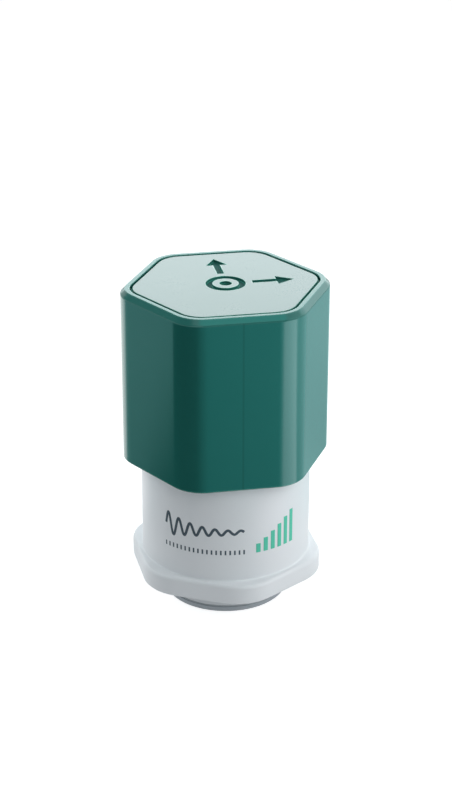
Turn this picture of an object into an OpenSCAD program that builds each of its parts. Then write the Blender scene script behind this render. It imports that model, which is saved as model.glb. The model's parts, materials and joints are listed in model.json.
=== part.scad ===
// Wireless condition monitoring sensor for machines, as an assembly of its real pieces.
// A hexagonal cap locks by a bayonet on a round housing that ends in a hexagonal spanner collar.
// A steel base with a threaded hole carries the sensing board. A cradle above it holds the battery,
// and a tray on the cradle holds the radio board under the cap's roof.
// The origin is the centre of the base's underside, +Z runs up the axis and a cap flat faces -Y.

/* [Housing] */
// Thickness of the round wall
body_wall = 3.25; // [2.4:0.05:3.4]
// Height of wall that shows between the collar and the cap
body_h = 27.7; // [22:0.1:36]
// Length of full-width wall that runs up inside the cap
wall_in_cap = 3.5; // [2:0.1:6]
// Radial step from the wall in to the neck
neck_step = 1.25; // [1.15:0.05:1.7]
// Height of the neck above its shoulder
neck_h = 18; // [14:0.5:22]
// Chamfer along the neck's top edge
neck_chamfer = 0.6; // [0.2:0.1:1]
// Thickness of the floor, from the collar's underside up
floor_t = 3.2; // [2:0.1:4.6]
// Diameter of the three bosses that carry the battery cradle
boss_d = 5.2; // [4.4:0.1:5.4]
// How far each boss runs into the wall
boss_merge = 0.2; // [0.1:0.05:0.6]

/* [Collar and foot] */
// How far the collar's flats stand out of the round wall
collar_lip = 1.55; // [1.2:0.05:6]
// Radius of the collar's upright corners
collar_corner_r = 12.1; // [6:0.1:18]
// Height of the collar
collar_h = 5.4; // [3.4:0.1:9]
// Rounding along the collar's upper edge
collar_edge_r = 1; // [0.3:0.1:1.1]
// Chamfer along the collar's lower edge
collar_low_chamfer = 0.4; // [0.1:0.1:1]
// Fillet between the collar's top and the round wall
collar_fillet = 0.5; // [0.2:0.1:0.6]
// Turn of the collar against the cap, in degrees
collar_turn = -27.2; // [-30:0.1:30]
// Diameter of the foot under the collar
foot_d = 32.9; // [31:0.1:40]
// Height of the foot under the collar
foot_h = 5.65; // [3:0.05:10]
// Chamfer along the foot's lower edge
foot_chamfer = 0.3; // [0.1:0.1:0.8]

/* [Cap] */
// Thickness of the cap's wall at a flat, beside the housing wall
cap_wall = 2.2; // [1.6:0.1:4]
// Radius of the cap's upright corners
cap_corner_r = 9.5; // [5:0.1:14]
// Chamfer along the cap's top edge
cap_chamfer = 1.3; // [0.5:0.1:2]
// Chamfer along the cap's lower edge
cap_low_chamfer = 0.3; // [0.1:0.1:0.6]
// Thickness of the roof under the lid plate
cap_roof = 2; // [1.4:0.1:4]
// Thickness of the ring between the mouth and a cored corner
core_ring_t = 1; // [0.8:0.1:1.2]
// Depth of the cored corners from the mouth up
core_depth = 36; // [10:1:38]

/* [Bayonet] */
// How far a lug stands out of the neck
lug_out = 0.9; // [0.5:0.05:1]
// Height of a lug
lug_h = 2.4; // [1.6:0.1:4]
// Width of a lug, in degrees round the neck
lug_angle = 14; // [8:1:24]
// Height of the lugs above the shoulder
lug_rise = 8; // [4:0.5:11]
// Turn from the entry to the locked place, in degrees
lock_turn = 34; // [28:1:60]

/* [Lid plate] */
// Width of the flat rim between the cap's chamfer and the lid recess
lid_rim = 1.2; // [0.6:0.1:3]
// Radius of the recess's corners
lid_corner_r = 7.5; // [3:0.1:12]
// Thickness of the plate
lid_t = 1.3; // [1:0.1:3]
// Width of the rebate round the plate's upper edge
rebate_w = 0.45; // [0.2:0.05:1.5]
// Depth of the rebate
rebate_d = 0.7; // [0.2:0.1:0.9]
// How far the plate lies below the rim
lid_sink = 0.1; // [0:0.05:0.5]
// Thickness of the adhesive sheet under the plate
tape_t = 0.2; // [0.1:0.05:0.5]
// How far the adhesive sheet stays inside the plate's edge
tape_inset = 1.5; // [0.5:0.1:4]
// Depth of the engraved mark
mark_depth = 0.8; // [0.2:0.1:1]
// Width of the mark's lines
mark_line = 1.8; // [0.5:0.1:2.2]
// Outer diameter of the mark's ring
mark_ring_d = 10.4; // [7:0.1:12]
// Diameter of the dot in the ring
mark_dot_d = 3.2; // [1:0.1:4]
// Distance from the axis to an arrow's tip
mark_reach = 18; // [13:0.1:19]
// Length of an arrow's head
mark_head_l = 4.6; // [2:0.1:6]
// Width of an arrow's head
mark_head_w = 5.6; // [2:0.1:7]

/* [Mounting base] */
// Thickness of the steel flange
flange_t = 1.35; // [1:0.05:4]
// Chamfer along the flange's lower edge
flange_chamfer = 0.3; // [0.1:0.05:0.6]
// Thickness of the flat seal on the flange
gasket_t = 0.4; // [0.2:0.05:1]
// How far the seal's edge stays behind the foot's
gasket_inset = 0.3; // [0.1:0.05:1]
// Diameter of the spigot in the floor
spigot_d = 24; // [22.4:0.1:26]
// Width across the two flats that stop the spigot from turning
spigot_flats = 21.4; // [20.6:0.1:22.2]
// Diameter of the spigot's threaded end
spigot_end_d = 20; // [19:0.1:20.4]
// Height of the threaded end above the nut
spigot_over = 0.6; // [0.2:0.1:2]
// Tapping diameter of the stud hole
stud_d = 6.8; // [5:0.1:8.5]
// Depth of the stud hole to the end of its full width
stud_depth = 9; // [6:0.5:11]
// Width across the ring nut's flats
nut_flats = 24; // [23:0.1:24.5]
// Height of the ring nut
nut_h = 3.2; // [2:0.1:6]
// Diameter of the washer under the nut
washer_d = 27; // [24:0.1:28]
// Thickness of the washer
washer_t = 0.8; // [0.4:0.1:2]

/* [Battery] */
// Diameter of the battery
battery_d = 26.2; // [18:0.1:26.2]
// Length of the battery with its nub
battery_l = 50; // [40:0.5:70]
// Diameter of the battery's nub
nub_d = 7; // [4:0.5:9]
// Height of the battery's nub
nub_h = 1.7; // [1:0.1:3]
// Wall of the clip shell round the battery
cradle_wall = 1.4; // [1:0.05:1.6]
// Angle that the clip shell wraps round the battery
cradle_wrap = 230; // [200:1:250]
// Thickness of the cradle's deck
deck_t = 2; // [1.5:0.1:4]
// Diameter of the cradle's pillars
pillar_d = 3.8; // [3.4:0.1:4]
// Thickness of the contact strips
contact_t = 0.4; // [0.2:0.05:0.6]
// Width of the contact strips
contact_w = 4; // [2:0.1:5]
// Rise of the sprung bow in the negative contact
contact_rise = 1.8; // [1:0.1:4]
// Length of the sprung bow
bow_l = 12; // [8:0.5:16]
// Outer diameter of the foam ring
pad_d = 24; // [14:0.5:24]
// Inner diameter of the foam ring
pad_bore = 10; // [9.5:0.5:13]

/* [Boards] */
// Thickness of both boards
board_t = 1.6; // [0.8:0.1:2]
// Diameter of the sensor board
sensor_board_d = 26; // [24:0.1:27]
// Distance of the sensor board's screws from the axis
sensor_pitch = 8; // [7.8:0.1:8.4]
// Room over the sensor board, up to the cradle's deck
sensor_room = 3.7; // [3:0.1:8]
// Thickness of the tray
tray_t = 2; // [1.5:0.1:4]
// Height of the tray's standoffs
standoff_h = 2; // [1.5:0.1:5]
// Diameter of the tray's standoffs
standoff_d = 4.4; // [4:0.1:5]
// Distance of the standoffs from the axis
standoff_pitch = 15.2; // [14.5:0.1:15.6]
// Room between the antenna and the cap's roof
roof_room = 0.8; // [0.4:0.1:6]

/* [Components] */
// Screened radio: length, width and height
radio_size = [16, 12, 2.2]; // [1:0.1:20]
// Processor: length, width and height
processor_size = [7, 7, 0.9]; // [0.5:0.1:10]
// Memory: length, width and height
memory_size = [5, 4, 0.8]; // [0.5:0.1:8]
// Clock crystal: length, width and height
crystal_size = [2, 3.2, 0.8]; // [0.5:0.1:5]
// Buffer capacitor: length, width and height
capacitor_size = [7.3, 4.3, 2.8]; // [0.5:0.1:8]
// Status light: length, width and height
led_size = [1.6, 0.8, 0.7]; // [0.3:0.1:3]
// Accelerometer: length, width and height
accelerometer_size = [5, 5, 1.3]; // [0.5:0.1:7]
// Signal chip: length, width and height
signal_size = [4, 3, 0.9]; // [0.5:0.1:5]
// Flat cable connector: depth, width and height
connector_size = [3.5, 8, 1.6]; // [1:0.1:10]
// Distance from the sensor board's edge to the middle of its connector
sensor_connector_in = 3.8; // [3:0.1:4.5]
// Distance from the radio board's edge to the middle of its connector
board_connector_in = 5.8; // [5:0.1:6.5]
// Distance from the radio board's edge to the middle of the antenna
antenna_in = 6.4; // [6:0.1:8]
// Distance from the radio board's edge to the middle of the magnet switch
reed_in = 4; // [3:0.1:5]
// Distance from the radio board's edge to the middle of the status light
led_in = 4.2; // [3:0.1:5]
// Distance from the radio board's edge to the middle of the buffer capacitor
capacitor_in = 8.4; // [7.5:0.1:9]
// Length of the antenna's plate
antenna_l = 15; // [10:0.5:16]
// Width of the antenna's plate
antenna_w = 4; // [2:0.5:4]
// Height of the antenna over the board
antenna_h = 2.9; // [2.8:0.1:6]
// Thickness of the antenna's sheet
antenna_t = 0.4; // [0.2:0.1:0.6]
// Length of the magnet switch's glass tube
reed_l = 10; // [6:0.5:11]
// Diameter of the magnet switch's glass tube
reed_d = 1.8; // [1:0.1:2.2]
// Length of a lead at each end of the glass tube
reed_lead_l = 1; // [0.5:0.1:1.2]
// Thickness of the flat cable
cable_t = 0.3; // [0.2:0.05:0.6]
// Width of the flat cable
cable_w = 6; // [3:0.5:7]
// Inner radius of the flat cable's bends
cable_bend = 1.2; // [0.8:0.1:2]
// Distance from the cavity wall to the flat cable
cable_off_wall = 2; // [1.6:0.1:2.4]
// Diameter of the temperature probe's bead
probe_d = 2.4; // [1.5:0.1:3]
// Length of the temperature probe's bead
probe_l = 5; // [3:0.5:7]
// Steel left under the temperature probe's hole
probe_floor = 3; // [1.5:0.1:5]

/* [Screws] */
// Thread diameter of the small screws
screw_d = 2; // [1.6:0.1:2.2]
// Head diameter of the small screws
screw_head_d = 3.4; // [3:0.1:3.6]
// Head height of the small screws
screw_head_h = 1.3; // [0.8:0.1:1.4]
// Length of the small screws under the head
screw_l = 5; // [4.5:0.1:6.5]

/* [Clearances] */
// Gap between the cap's mouth and the housing wall
cap_clear = 0.25; // [0.1:0.05:0.6]
// Gap between the cap's bore and the neck
bore_clear = 0.2; // [0.1:0.05:0.5]
// Gap round a lug in its slot
lug_clear = 0.15; // [0.1:0.05:0.4]
// Gap between the lid plate and its recess
lid_clear = 0.25; // [0.1:0.05:0.5]
// Gap round the spigot in the floor
spigot_clear = 0.1; // [0.05:0.05:0.3]
// Gap round the battery in its clip shell
battery_clear = 0.25; // [0.1:0.05:0.5]
// Gap between the clip shell and the heads of the screws beside it
head_gap = 0.45; // [0.2:0.05:3]
// Gap between the base's washer, nut or board and the bosses beside them
base_gap = 0.8; // [0.3:0.05:3]
// Gap between the cavity wall and the decks inside
deck_clear = 0.3; // [0.2:0.05:0.6]
// Gap round a screw, a nut's thread or a probe in its hole
hole_clear = 0.1; // [0.05:0.05:0.2]
// Gap between a seal and the faces beside it
seal_clear = 0.04; // [0.02:0.01:0.1]
// Gap round a cable or strip in its slot
slot_clear = 0.5; // [0.3:0.05:0.8]
// Gap between the clip shell and the contacts' tails
strip_clear = 0.25; // [0.15:0.05:0.6]
// Gap between the decks' edge and the radio board's
board_clear = 0.6; // [0.3:0.1:1]
// Gap between the decks' edge and a pillar's
pillar_edge = 0.55; // [0.2:0.05:1]

/* [Hidden] */
$fn = 96;
// Angle from one corner of a hexagon to the next
hex_turn = 360 / 6;
// Facets in each rounded corner of a hexagon
corner_steps = 16;
// Facets in a small rounding or fillet
edge_steps = 4;
// Overlap that makes a cut run past a face, or two parts of one moulding join
past = 0.5;
// Overlap of a pillar with the clip shell where the battery sets the cavity's width
pillar_merge = 0.1;
// Width of the web between the clip shell and a pillar
web_t = 1;

// The cavity is as wide as the widest thing in it needs: the battery in its clip shell beside a
// screw head over a boss or beside a pillar, or the washer, nut or board between the bosses
shell_r = battery_d / 2 + battery_clear;
shell_out = shell_r + cradle_wall;
boss_room = boss_d - boss_merge;
nut_corner_r = nut_flats / 2 / cos(hex_turn / 2);
cavity_r = max(
    shell_out + head_gap + screw_head_d / 2 + boss_room - boss_d / 2,
    shell_out - pillar_merge + pillar_d + pillar_edge + deck_clear,
    base_gap + boss_room + washer_d / 2,
    base_gap / 2 + boss_room + nut_corner_r,
    base_gap + boss_room + sensor_board_d / 2
);
body_r = cavity_r + body_wall;
neck_r = body_r - neck_step;
foot_r = foot_d / 2;
mouth_r = body_r + cap_clear;
bore_r = neck_r + bore_clear;
cap_apothem = mouth_r + cap_wall;
collar_apothem = body_r + collar_lip;

// Heights from the base's underside up, the outside first
foot_z = flange_t + gasket_t;
collar_z = foot_z + foot_h;
collar_top = collar_z + collar_h;
cap_z = collar_top + body_h;
shoulder_z = cap_z + wall_in_cap;
neck_top = shoulder_z + neck_h;
lug_z = shoulder_z + lug_rise;
// The O-ring fills the step between the wall and the neck
seal_d = neck_step - seal_clear;
seat_z = shoulder_z + seal_d + 2 * seal_clear;

// Heights of the inner stack, which sets the height of the cap
floor_z = collar_z + floor_t;
nut_z = floor_z + washer_t;
spigot_top = nut_z + nut_h + spigot_over;
sensor_z = spigot_top + board_t;
deck_z = sensor_z + sensor_room;
deck_top = deck_z + deck_t;
battery_z = deck_top + contact_t + contact_rise;
can_top = battery_z + battery_l - nub_h;
nub_top = battery_z + battery_l;
tray_z = nub_top + contact_t;
tray_top = tray_z + tray_t;
board_z = tray_top + standoff_h;
board_top = board_z + board_t;
roof_z = board_top + antenna_h + roof_room;
recess_z = roof_z + cap_roof;
cap_top = recess_z + tape_t + lid_t + lid_sink;
cap_h = cap_top - cap_z;

recess_apothem = cap_apothem - cap_chamfer - lid_rim;
plate_apothem = recess_apothem - lid_clear;
plate_corner_r = lid_corner_r - lid_clear;

boss_pitch = cavity_r - boss_d / 2 + boss_merge;
boss_angles = [0, 120, 240];
pillar_angles = [90, 180, 270];
deck_r = cavity_r - deck_clear;
pillar_pitch = deck_r - pillar_edge - pillar_d / 2;
board_r = deck_r - board_clear;
standoff_angles = [0, 120, 240];
sensor_screw_angles = [90, 210, 330];
screw_hole_r = screw_d / 2 + hole_clear;

// The flat cable and the contact strips each climb at their own angle
cable_angle = 150;
negative_angle = 210;
positive_angle = 330;
cable_r = cavity_r - cable_off_wall - cable_t;
strip_r = shell_out + strip_clear;
sensor_connector_r = sensor_board_d / 2 - sensor_connector_in;
board_connector_r = board_r - board_connector_in;
probe_angle = 30;
probe_pitch = sensor_pitch;
probe_hole_r = probe_d / 2 + hole_clear;
probe_lead_d = 0.5;
probe_lead_gap = 1.2;

radio_at = [3, -6];
processor_at = [-3, 4.5];
memory_at = [7, 5];
crystal_at = [2.5, 4.5];
capacitor_at = [capacitor_in - board_r, -5];
led_at = [board_r - led_in, 5.2];
antenna_at = [3.5, board_r - antenna_in];
reed_at = [0, reed_in - board_r];
signal_at = [-2.5, -6];

teal = [0.13, 0.38, 0.34];
white_plastic = [0.86, 0.88, 0.89];
steel = [0.62, 0.64, 0.66];
rubber = [0.09, 0.09, 0.1];
board_green = [0.05, 0.3, 0.18];
black_epoxy = [0.07, 0.07, 0.08];
grey_nylon = [0.3, 0.32, 0.34];
brass = [0.78, 0.62, 0.3];
tin = [0.75, 0.76, 0.77];

// Points of a hexagon with round corners, its flats facing +Y and -Y
function rounded_hex(apothem, r) = [
    for (side = [0:5], step = [0:corner_steps])
        let (corner = hex_turn * side, turn = corner + hex_turn * (step / corner_steps - 1 / 2))
        (apothem - r) / cos(hex_turn / 2) * [cos(corner), sin(corner)] + r * [cos(turn), sin(turn)]
];

// Hull of hexagonal layers, each given as its inset, its bottom and its top
module hex_block(apothem, r, layers) {
    hull()
        for (layer = layers)
            translate([0, 0, layer[1]])
                linear_extrude(height = layer[2] - layer[1])
                    polygon(rounded_hex(apothem - layer[0], r - layer[0]));
}

// Upright hexagonal prism with round corners
module hex_prism(apothem, r, bottom, top) {
    translate([0, 0, bottom])
        linear_extrude(height = top - bottom)
            polygon(rounded_hex(apothem, r));
}

// Cylinder between two heights
module rod(r, bottom, top) {
    translate([0, 0, bottom])
        cylinder(r = r, h = top - bottom);
}

// Ring between two radii and two heights, over an angle from a start
module ring_part(inner, outer, bottom, top, start, angle) {
    rotate([0, 0, start])
        rotate_extrude(angle = angle)
            translate([inner, bottom])
                square([outer - inner, top - bottom]);
}

// Puts the children at each of the angles, at one distance from the axis
module around(angles, radius) {
    for (angle = angles)
        rotate([0, 0, angle])
            translate([radius, 0, 0])
                children();
}

// Block that stands on a height, centred in plan
module standing_block(size, at, bottom) {
    translate([at[0] - size[0] / 2, at[1] - size[1] / 2, bottom])
        cube(size);
}

// Screw whose head rests on a height, with a hexagonal socket
module small_screw(seat) {
    socket_d = screw_head_d * 0.45;
    socket_depth = screw_head_h * 0.6;
    difference() {
        union() {
            rod(screw_d / 2, seat - screw_l, seat + screw_head_h / 2);
            rod(screw_head_d / 2, seat, seat + screw_head_h);
        }
        translate([0, 0, seat + screw_head_h - socket_depth])
            cylinder(d = socket_d, h = socket_depth + past, $fn = 6);
    }
}

// Chip with a small dot pressed into one corner of its top
module chip(size, at, bottom) {
    dot_r = 0.25;
    dot_depth = 0.1;
    dot_inset = 0.7;
    difference() {
        standing_block(size, at, bottom);
        translate([at[0] - size[0] / 2 + dot_inset, at[1] - size[1] / 2 + dot_inset, 0])
            rod(dot_r, bottom + size[2] - dot_depth, bottom + size[2] + past);
    }
}

// Hole for the spigot and the spigot itself, a round with two flats
module keyed_round(d, flats, bottom, top) {
    intersection() {
        rod(d / 2, bottom, top);
        translate([-d, -flats / 2, bottom])
            cube([2 * d, flats, top - bottom]);
    }
}

module cap() {
    color(teal)
    difference() {
        translate([0, 0, cap_z])
            hex_block(cap_apothem, cap_corner_r, [
                [cap_low_chamfer, 0, cap_h - cap_chamfer],
                [0, cap_low_chamfer, cap_h - cap_chamfer],
                [cap_chamfer, cap_low_chamfer, cap_h]
            ]);
        rod(mouth_r, cap_z - past, seat_z);
        rod(bore_r, seat_z - past, roof_z);
        hex_prism(recess_apothem, lid_corner_r, recess_z, cap_top + past);
        cap_cores();
        bayonet_slots();
    }
}

// Cored corners, open at the mouth, between the outer wall and the ring round the bore
module cap_cores() {
    difference() {
        hex_prism(mouth_r, cap_corner_r - cap_wall, cap_z - past, cap_z + core_depth);
        rod(mouth_r + core_ring_t, cap_z - 2 * past, cap_z + core_depth + past);
    }
}

// Each slot enters from the mouth and then runs round to the locked place
module bayonet_slots() {
    slot_r = neck_r + lug_out + bore_clear;
    slot_low = lug_z - lug_clear;
    slot_high = lug_z + lug_h + lug_clear;
    slack = 1;
    relief = 0.1;
    for (angle = boss_angles) {
        ring_part(bore_r - past, slot_r, slot_low, slot_high, angle - lug_angle / 2 - slack,
            lug_angle + lock_turn + 2 * slack);
        ring_part(bore_r - past, slot_r + relief, seat_z - past, lug_z + lug_h / 2,
            angle - lug_angle / 2 - slack + lock_turn, lug_angle + 3 * slack);
    }
}

module lid_plate() {
    plate_z = recess_z + tape_t;
    plate_top = plate_z + lid_t;
    color(teal)
    difference() {
        union() {
            hex_prism(plate_apothem, plate_corner_r, plate_z, plate_top - rebate_d);
            hex_prism(plate_apothem - rebate_w, plate_corner_r - rebate_w, plate_z, plate_top);
        }
        lid_mark(plate_top);
    }
}

// Plain sensing axis mark: a ring with a dot for the upright axis, an arrow for each other axis
module lid_mark(top) {
    low = top - mark_depth;
    difference() {
        rod(mark_ring_d / 2, low, top + past);
        rod(mark_ring_d / 2 - mark_line, low - past, top + 2 * past);
    }
    rod(mark_dot_d / 2, low, top + past);
    for (angle = [0, 90])
        rotate([0, 0, angle])
            translate([0, 0, low])
                linear_extrude(height = mark_depth + past)
                    arrow(mark_ring_d / 2 + mark_line, mark_reach);
}

// Arrow along +X between two distances from the axis
module arrow(from, to) {
    neck = to - mark_head_l;
    polygon([
        [from, -mark_line / 2],
        [neck, -mark_line / 2],
        [neck, -mark_head_w / 2],
        [to, 0],
        [neck, mark_head_w / 2],
        [neck, mark_line / 2],
        [from, mark_line / 2]
    ]);
}

module lid_tape() {
    color(rubber)
        hex_prism(plate_apothem - tape_inset, plate_corner_r - tape_inset, recess_z,
            recess_z + tape_t);
}

module cap_seal() {
    color(rubber)
        translate([0, 0, shoulder_z + seal_clear + seal_d / 2])
            rotate_extrude()
                translate([neck_r + seal_clear + seal_d / 2, 0])
                    circle(d = seal_d);
}

module housing() {
    color(white_plastic)
    difference() {
        union() {
            difference() {
                union() {
                    rotate_extrude()
                        housing_outline();
                    translate([0, 0, collar_z])
                        rotate([0, 0, collar_turn])
                            collar();
                    for (angle = boss_angles)
                        ring_part(neck_r - past, neck_r + lug_out, lug_z, lug_z + lug_h,
                            angle - lug_angle / 2, lug_angle);
                }
                rod(cavity_r, floor_z, neck_top + past);
            }
            around(boss_angles, boss_pitch)
                rod(boss_d / 2, floor_z - past, deck_z);
        }
        keyed_round(spigot_d + 2 * spigot_clear, spigot_flats + 2 * spigot_clear, foot_z - past,
            floor_z + past);
        around(boss_angles, boss_pitch)
            rod(screw_hole_r, deck_z + deck_t - screw_l - past, deck_z + past);
    }
}

// Half section of the foot, the wall with its fillet on the collar, the shoulder and the neck
module housing_outline() {
    fillet = min(collar_fillet, collar_lip);
    collar_mid = collar_z + collar_h / 2;
    polygon(concat(
        [
            [0, foot_z],
            [foot_r - foot_chamfer, foot_z],
            [foot_r, foot_z + foot_chamfer],
            [foot_r, collar_mid],
            [body_r + fillet, collar_mid]
        ],
        [
            for (step = [0:edge_steps])
                let (turn = 90 * step / edge_steps)
                [body_r + fillet * (1 - sin(turn)), collar_top + fillet * (1 - cos(turn))]
        ],
        [
            [body_r, shoulder_z],
            [neck_r, shoulder_z],
            [neck_r, neck_top - neck_chamfer],
            [neck_r - neck_chamfer, neck_top],
            [0, neck_top]
        ]
    ));
}

// Hexagonal spanner collar with a rounded upper edge
module collar() {
    hex_block(collar_apothem, collar_corner_r, concat(
        [[collar_low_chamfer, 0, collar_h - collar_edge_r]],
        [
            for (step = [0:edge_steps])
                let (turn = 90 * step / edge_steps)
                [
                    collar_edge_r * (1 - cos(turn)),
                    collar_low_chamfer,
                    collar_h - collar_edge_r * (1 - sin(turn))
                ]
        ]
    ));
}

module mounting_base() {
    drill_half_angle = 59;
    drill_point = stud_d / 2 / tan(drill_half_angle);
    color(steel)
    difference() {
        union() {
            rotate_extrude()
                polygon([
                    [0, 0],
                    [foot_r - flange_chamfer, 0],
                    [foot_r, flange_chamfer],
                    [foot_r, flange_t],
                    [0, flange_t]
                ]);
            keyed_round(spigot_d, spigot_flats, flange_t - past, floor_z - spigot_clear);
            rod(spigot_end_d / 2, flange_t, spigot_top);
        }
        rod(stud_d / 2, -past, stud_depth);
        translate([0, 0, stud_depth])
            cylinder(r1 = stud_d / 2, r2 = 0, h = drill_point);
        around(sensor_screw_angles, sensor_pitch)
            rod(screw_hole_r, sensor_z - screw_l - past, spigot_top + past);
        around([probe_angle], probe_pitch)
            rod(probe_hole_r, probe_floor, spigot_top + past);
    }
}

module base_gasket() {
    color(rubber)
    difference() {
        rod(foot_r - gasket_inset, flange_t, foot_z);
        rod(spigot_d / 2 + spigot_clear, flange_t - past, foot_z + past);
    }
}

module base_washer() {
    color(steel)
    difference() {
        rod(washer_d / 2, floor_z, nut_z);
        rod(spigot_end_d / 2 + hole_clear, floor_z - past, nut_z + past);
    }
}

// Ring nut with its corners turned off at the top
module base_nut() {
    bevel = nut_corner_r - nut_flats / 2;
    color(steel)
    difference() {
        intersection() {
            translate([0, 0, nut_z])
                cylinder(r = nut_corner_r, h = nut_h, $fn = 6);
            rotate_extrude()
                polygon([
                    [0, nut_z],
                    [nut_corner_r + past, nut_z],
                    [nut_corner_r + past, nut_z + nut_h - (bevel + past) / 2],
                    [nut_corner_r - bevel, nut_z + nut_h],
                    [0, nut_z + nut_h]
                ]);
        }
        rod(spigot_end_d / 2 + hole_clear, nut_z - past, nut_z + nut_h + past);
    }
}

module sensor_board() {
    color(board_green)
    difference() {
        rod(sensor_board_d / 2, spigot_top, sensor_z);
        around(sensor_screw_angles, sensor_pitch)
            rod(screw_hole_r, spigot_top - past, sensor_z + past);
    }
}

module sensor_screws() {
    color(tin)
        around(sensor_screw_angles, sensor_pitch)
            small_screw(sensor_z);
}

module accelerometer() {
    color(black_epoxy)
        chip(accelerometer_size, [0, 0], sensor_z);
}

module signal_chip() {
    color(black_epoxy)
        chip(signal_size, signal_at, sensor_z);
}

// Connector whose mouth faces away from the axis, at the height of the cable in it
module cable_connector(radius, bottom) {
    reach = 1;
    slot_low = bottom + connector_size[2] / 2 - cable_t / 2;
    rotate([0, 0, cable_angle])
        difference() {
            standing_block(connector_size, [radius, 0], bottom);
            translate([radius + connector_size[0] / 2 - reach, -cable_w / 2 - hole_clear,
                slot_low - hole_clear])
                cube([reach + past, cable_w + 2 * hole_clear, cable_t + 2 * hole_clear]);
        }
}

module sensor_connector() {
    color(white_plastic)
        cable_connector(sensor_connector_r, sensor_z);
}

module board_connector() {
    color(white_plastic)
        cable_connector(board_connector_r, board_top);
}

module temperature_probe() {
    bead_z = probe_floor + hole_clear;
    color(black_epoxy)
        around([probe_angle], probe_pitch) {
            rod(probe_d / 2, bead_z, bead_z + probe_l);
            for (side = [-1, 1])
                translate([0, side * probe_lead_gap / 2, 0])
                    rod(probe_lead_d / 2, bead_z + probe_l - past, spigot_top);
        }
}

// Cable out of the lower connector, up beside the cradle and back into the upper one
module flat_cable() {
    in_connector = 0.9;
    half = connector_size[0] / 2 - in_connector;
    low = sensor_z + connector_size[2] / 2 - cable_t / 2;
    high = board_top + connector_size[2] / 2 + cable_t / 2;
    bend_out = cable_bend + cable_t;
    color(grey_nylon)
    rotate([0, 0, cable_angle])
        translate([0, cable_w / 2, 0])
            rotate([90, 0, 0])
                linear_extrude(height = cable_w)
                    union() {
                        cable_run([sensor_connector_r + half, low],
                            [cable_r + cable_t - bend_out, low + cable_t]);
                        cable_corner([cable_r + cable_t - bend_out, low + bend_out], 0);
                        cable_run([cable_r, low + bend_out], [cable_r + cable_t, high - bend_out]);
                        cable_corner([cable_r + cable_t - bend_out, high - bend_out], 1);
                        cable_run([board_connector_r + half, high - cable_t],
                            [cable_r + cable_t - bend_out, high]);
                    }
}

// Straight run of the cable's section between two corners
module cable_run(from, to) {
    translate(from)
        square(to - from);
}

// Quarter bend of the cable's section, below its centre or above it
module cable_corner(centre, above) {
    bend_out = cable_bend + cable_t;
    translate(centre)
        intersection() {
            difference() {
                circle(r = bend_out);
                circle(r = cable_bend);
            }
            translate([0, above == 1 ? 0 : -bend_out])
                square(bend_out);
        }
}

module battery_cradle() {
    color(grey_nylon)
    difference() {
        union() {
            rod(deck_r, deck_z, deck_top);
            ring_part(shell_r, shell_out, deck_top - past, tray_z, 180 - cradle_wrap / 2,
                cradle_wrap);
            around(pillar_angles, pillar_pitch)
                rod(pillar_d / 2, deck_top - past, tray_z);
            around(pillar_angles, 0)
                translate([shell_out - past, -web_t / 2, deck_top - past])
                    cube([pillar_pitch - shell_out + past, web_t, tray_z - deck_top + past]);
        }
        around(boss_angles, boss_pitch)
            rod(screw_hole_r, deck_z - past, deck_top + past);
        around(pillar_angles, pillar_pitch)
            rod(screw_hole_r, tray_top - screw_l - past, tray_z + past);
        cable_slot(deck_z - past, deck_top + past);
        strip_window();
    }
}

// Slot that lets the flat cable through a deck
module cable_slot(bottom, top) {
    rotate([0, 0, cable_angle])
        translate([cable_r - slot_clear, -cable_w / 2 - slot_clear, bottom])
            cube([cable_t + 2 * slot_clear, cable_w + 2 * slot_clear, top - bottom]);
}

// Window in the clip shell for the negative contact's strip
module strip_window() {
    rotate([0, 0, negative_angle])
        translate([shell_r - past, -contact_w / 2 - slot_clear, deck_top])
            cube([cradle_wall + 2 * past, contact_w + 2 * slot_clear, contact_t + slot_clear]);
}

// Slot that lets a contact's tail through the tray
module strip_slot(angle, bottom, top) {
    rotate([0, 0, angle])
        translate([strip_r - slot_clear, -contact_w / 2 - slot_clear, bottom])
            cube([contact_t + 2 * slot_clear, contact_w + 2 * slot_clear, top - bottom]);
}

module cradle_screws() {
    color(tin)
        around(boss_angles, boss_pitch)
            small_screw(deck_top);
}

// Sealed cell: a can with a rolled edge at its foot and a nub on top
module battery() {
    can_r = battery_d / 2;
    edge = 0.8;
    color([0.2, 0.42, 0.6])
        rotate_extrude()
            polygon([
                [0, battery_z],
                [can_r - edge, battery_z],
                [can_r, battery_z + edge],
                [can_r, can_top - edge],
                [can_r - edge, can_top],
                [nub_d / 2, can_top],
                [nub_d / 2, nub_top],
                [0, nub_top]
            ]);
}

// Tail of a contact strip: out along a height, then up to the radio board
module strip_tail(bottom) {
    translate([0, -contact_w / 2, bottom])
        cube([strip_r + contact_t, contact_w, contact_t]);
    translate([strip_r, -contact_w / 2, bottom])
        cube([contact_t, contact_w, board_z - bottom]);
}

module negative_contact() {
    bow_r = (bow_l * bow_l / 4 + contact_rise * contact_rise) / 2 / contact_rise;
    color(brass)
    rotate([0, 0, negative_angle])
        union() {
            strip_tail(deck_top);
            translate([0, contact_w / 2, deck_top + contact_t + contact_rise - bow_r])
                rotate([90, 0, 0])
                    linear_extrude(height = contact_w)
                        intersection() {
                            difference() {
                                circle(r = bow_r);
                                circle(r = bow_r - contact_t);
                            }
                            translate([-bow_l / 2, bow_r - contact_rise - contact_t / 2])
                                square([bow_l, bow_r]);
                        }
            translate([-bow_l / 2, -contact_w / 2, deck_top])
                cube([bow_l / 2, contact_w, contact_t]);
        }
}

module positive_contact() {
    color(brass)
    rotate([0, 0, positive_angle])
        union() {
            rod(nub_d / 2, nub_top, tray_z);
            strip_tail(nub_top);
        }
}

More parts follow.
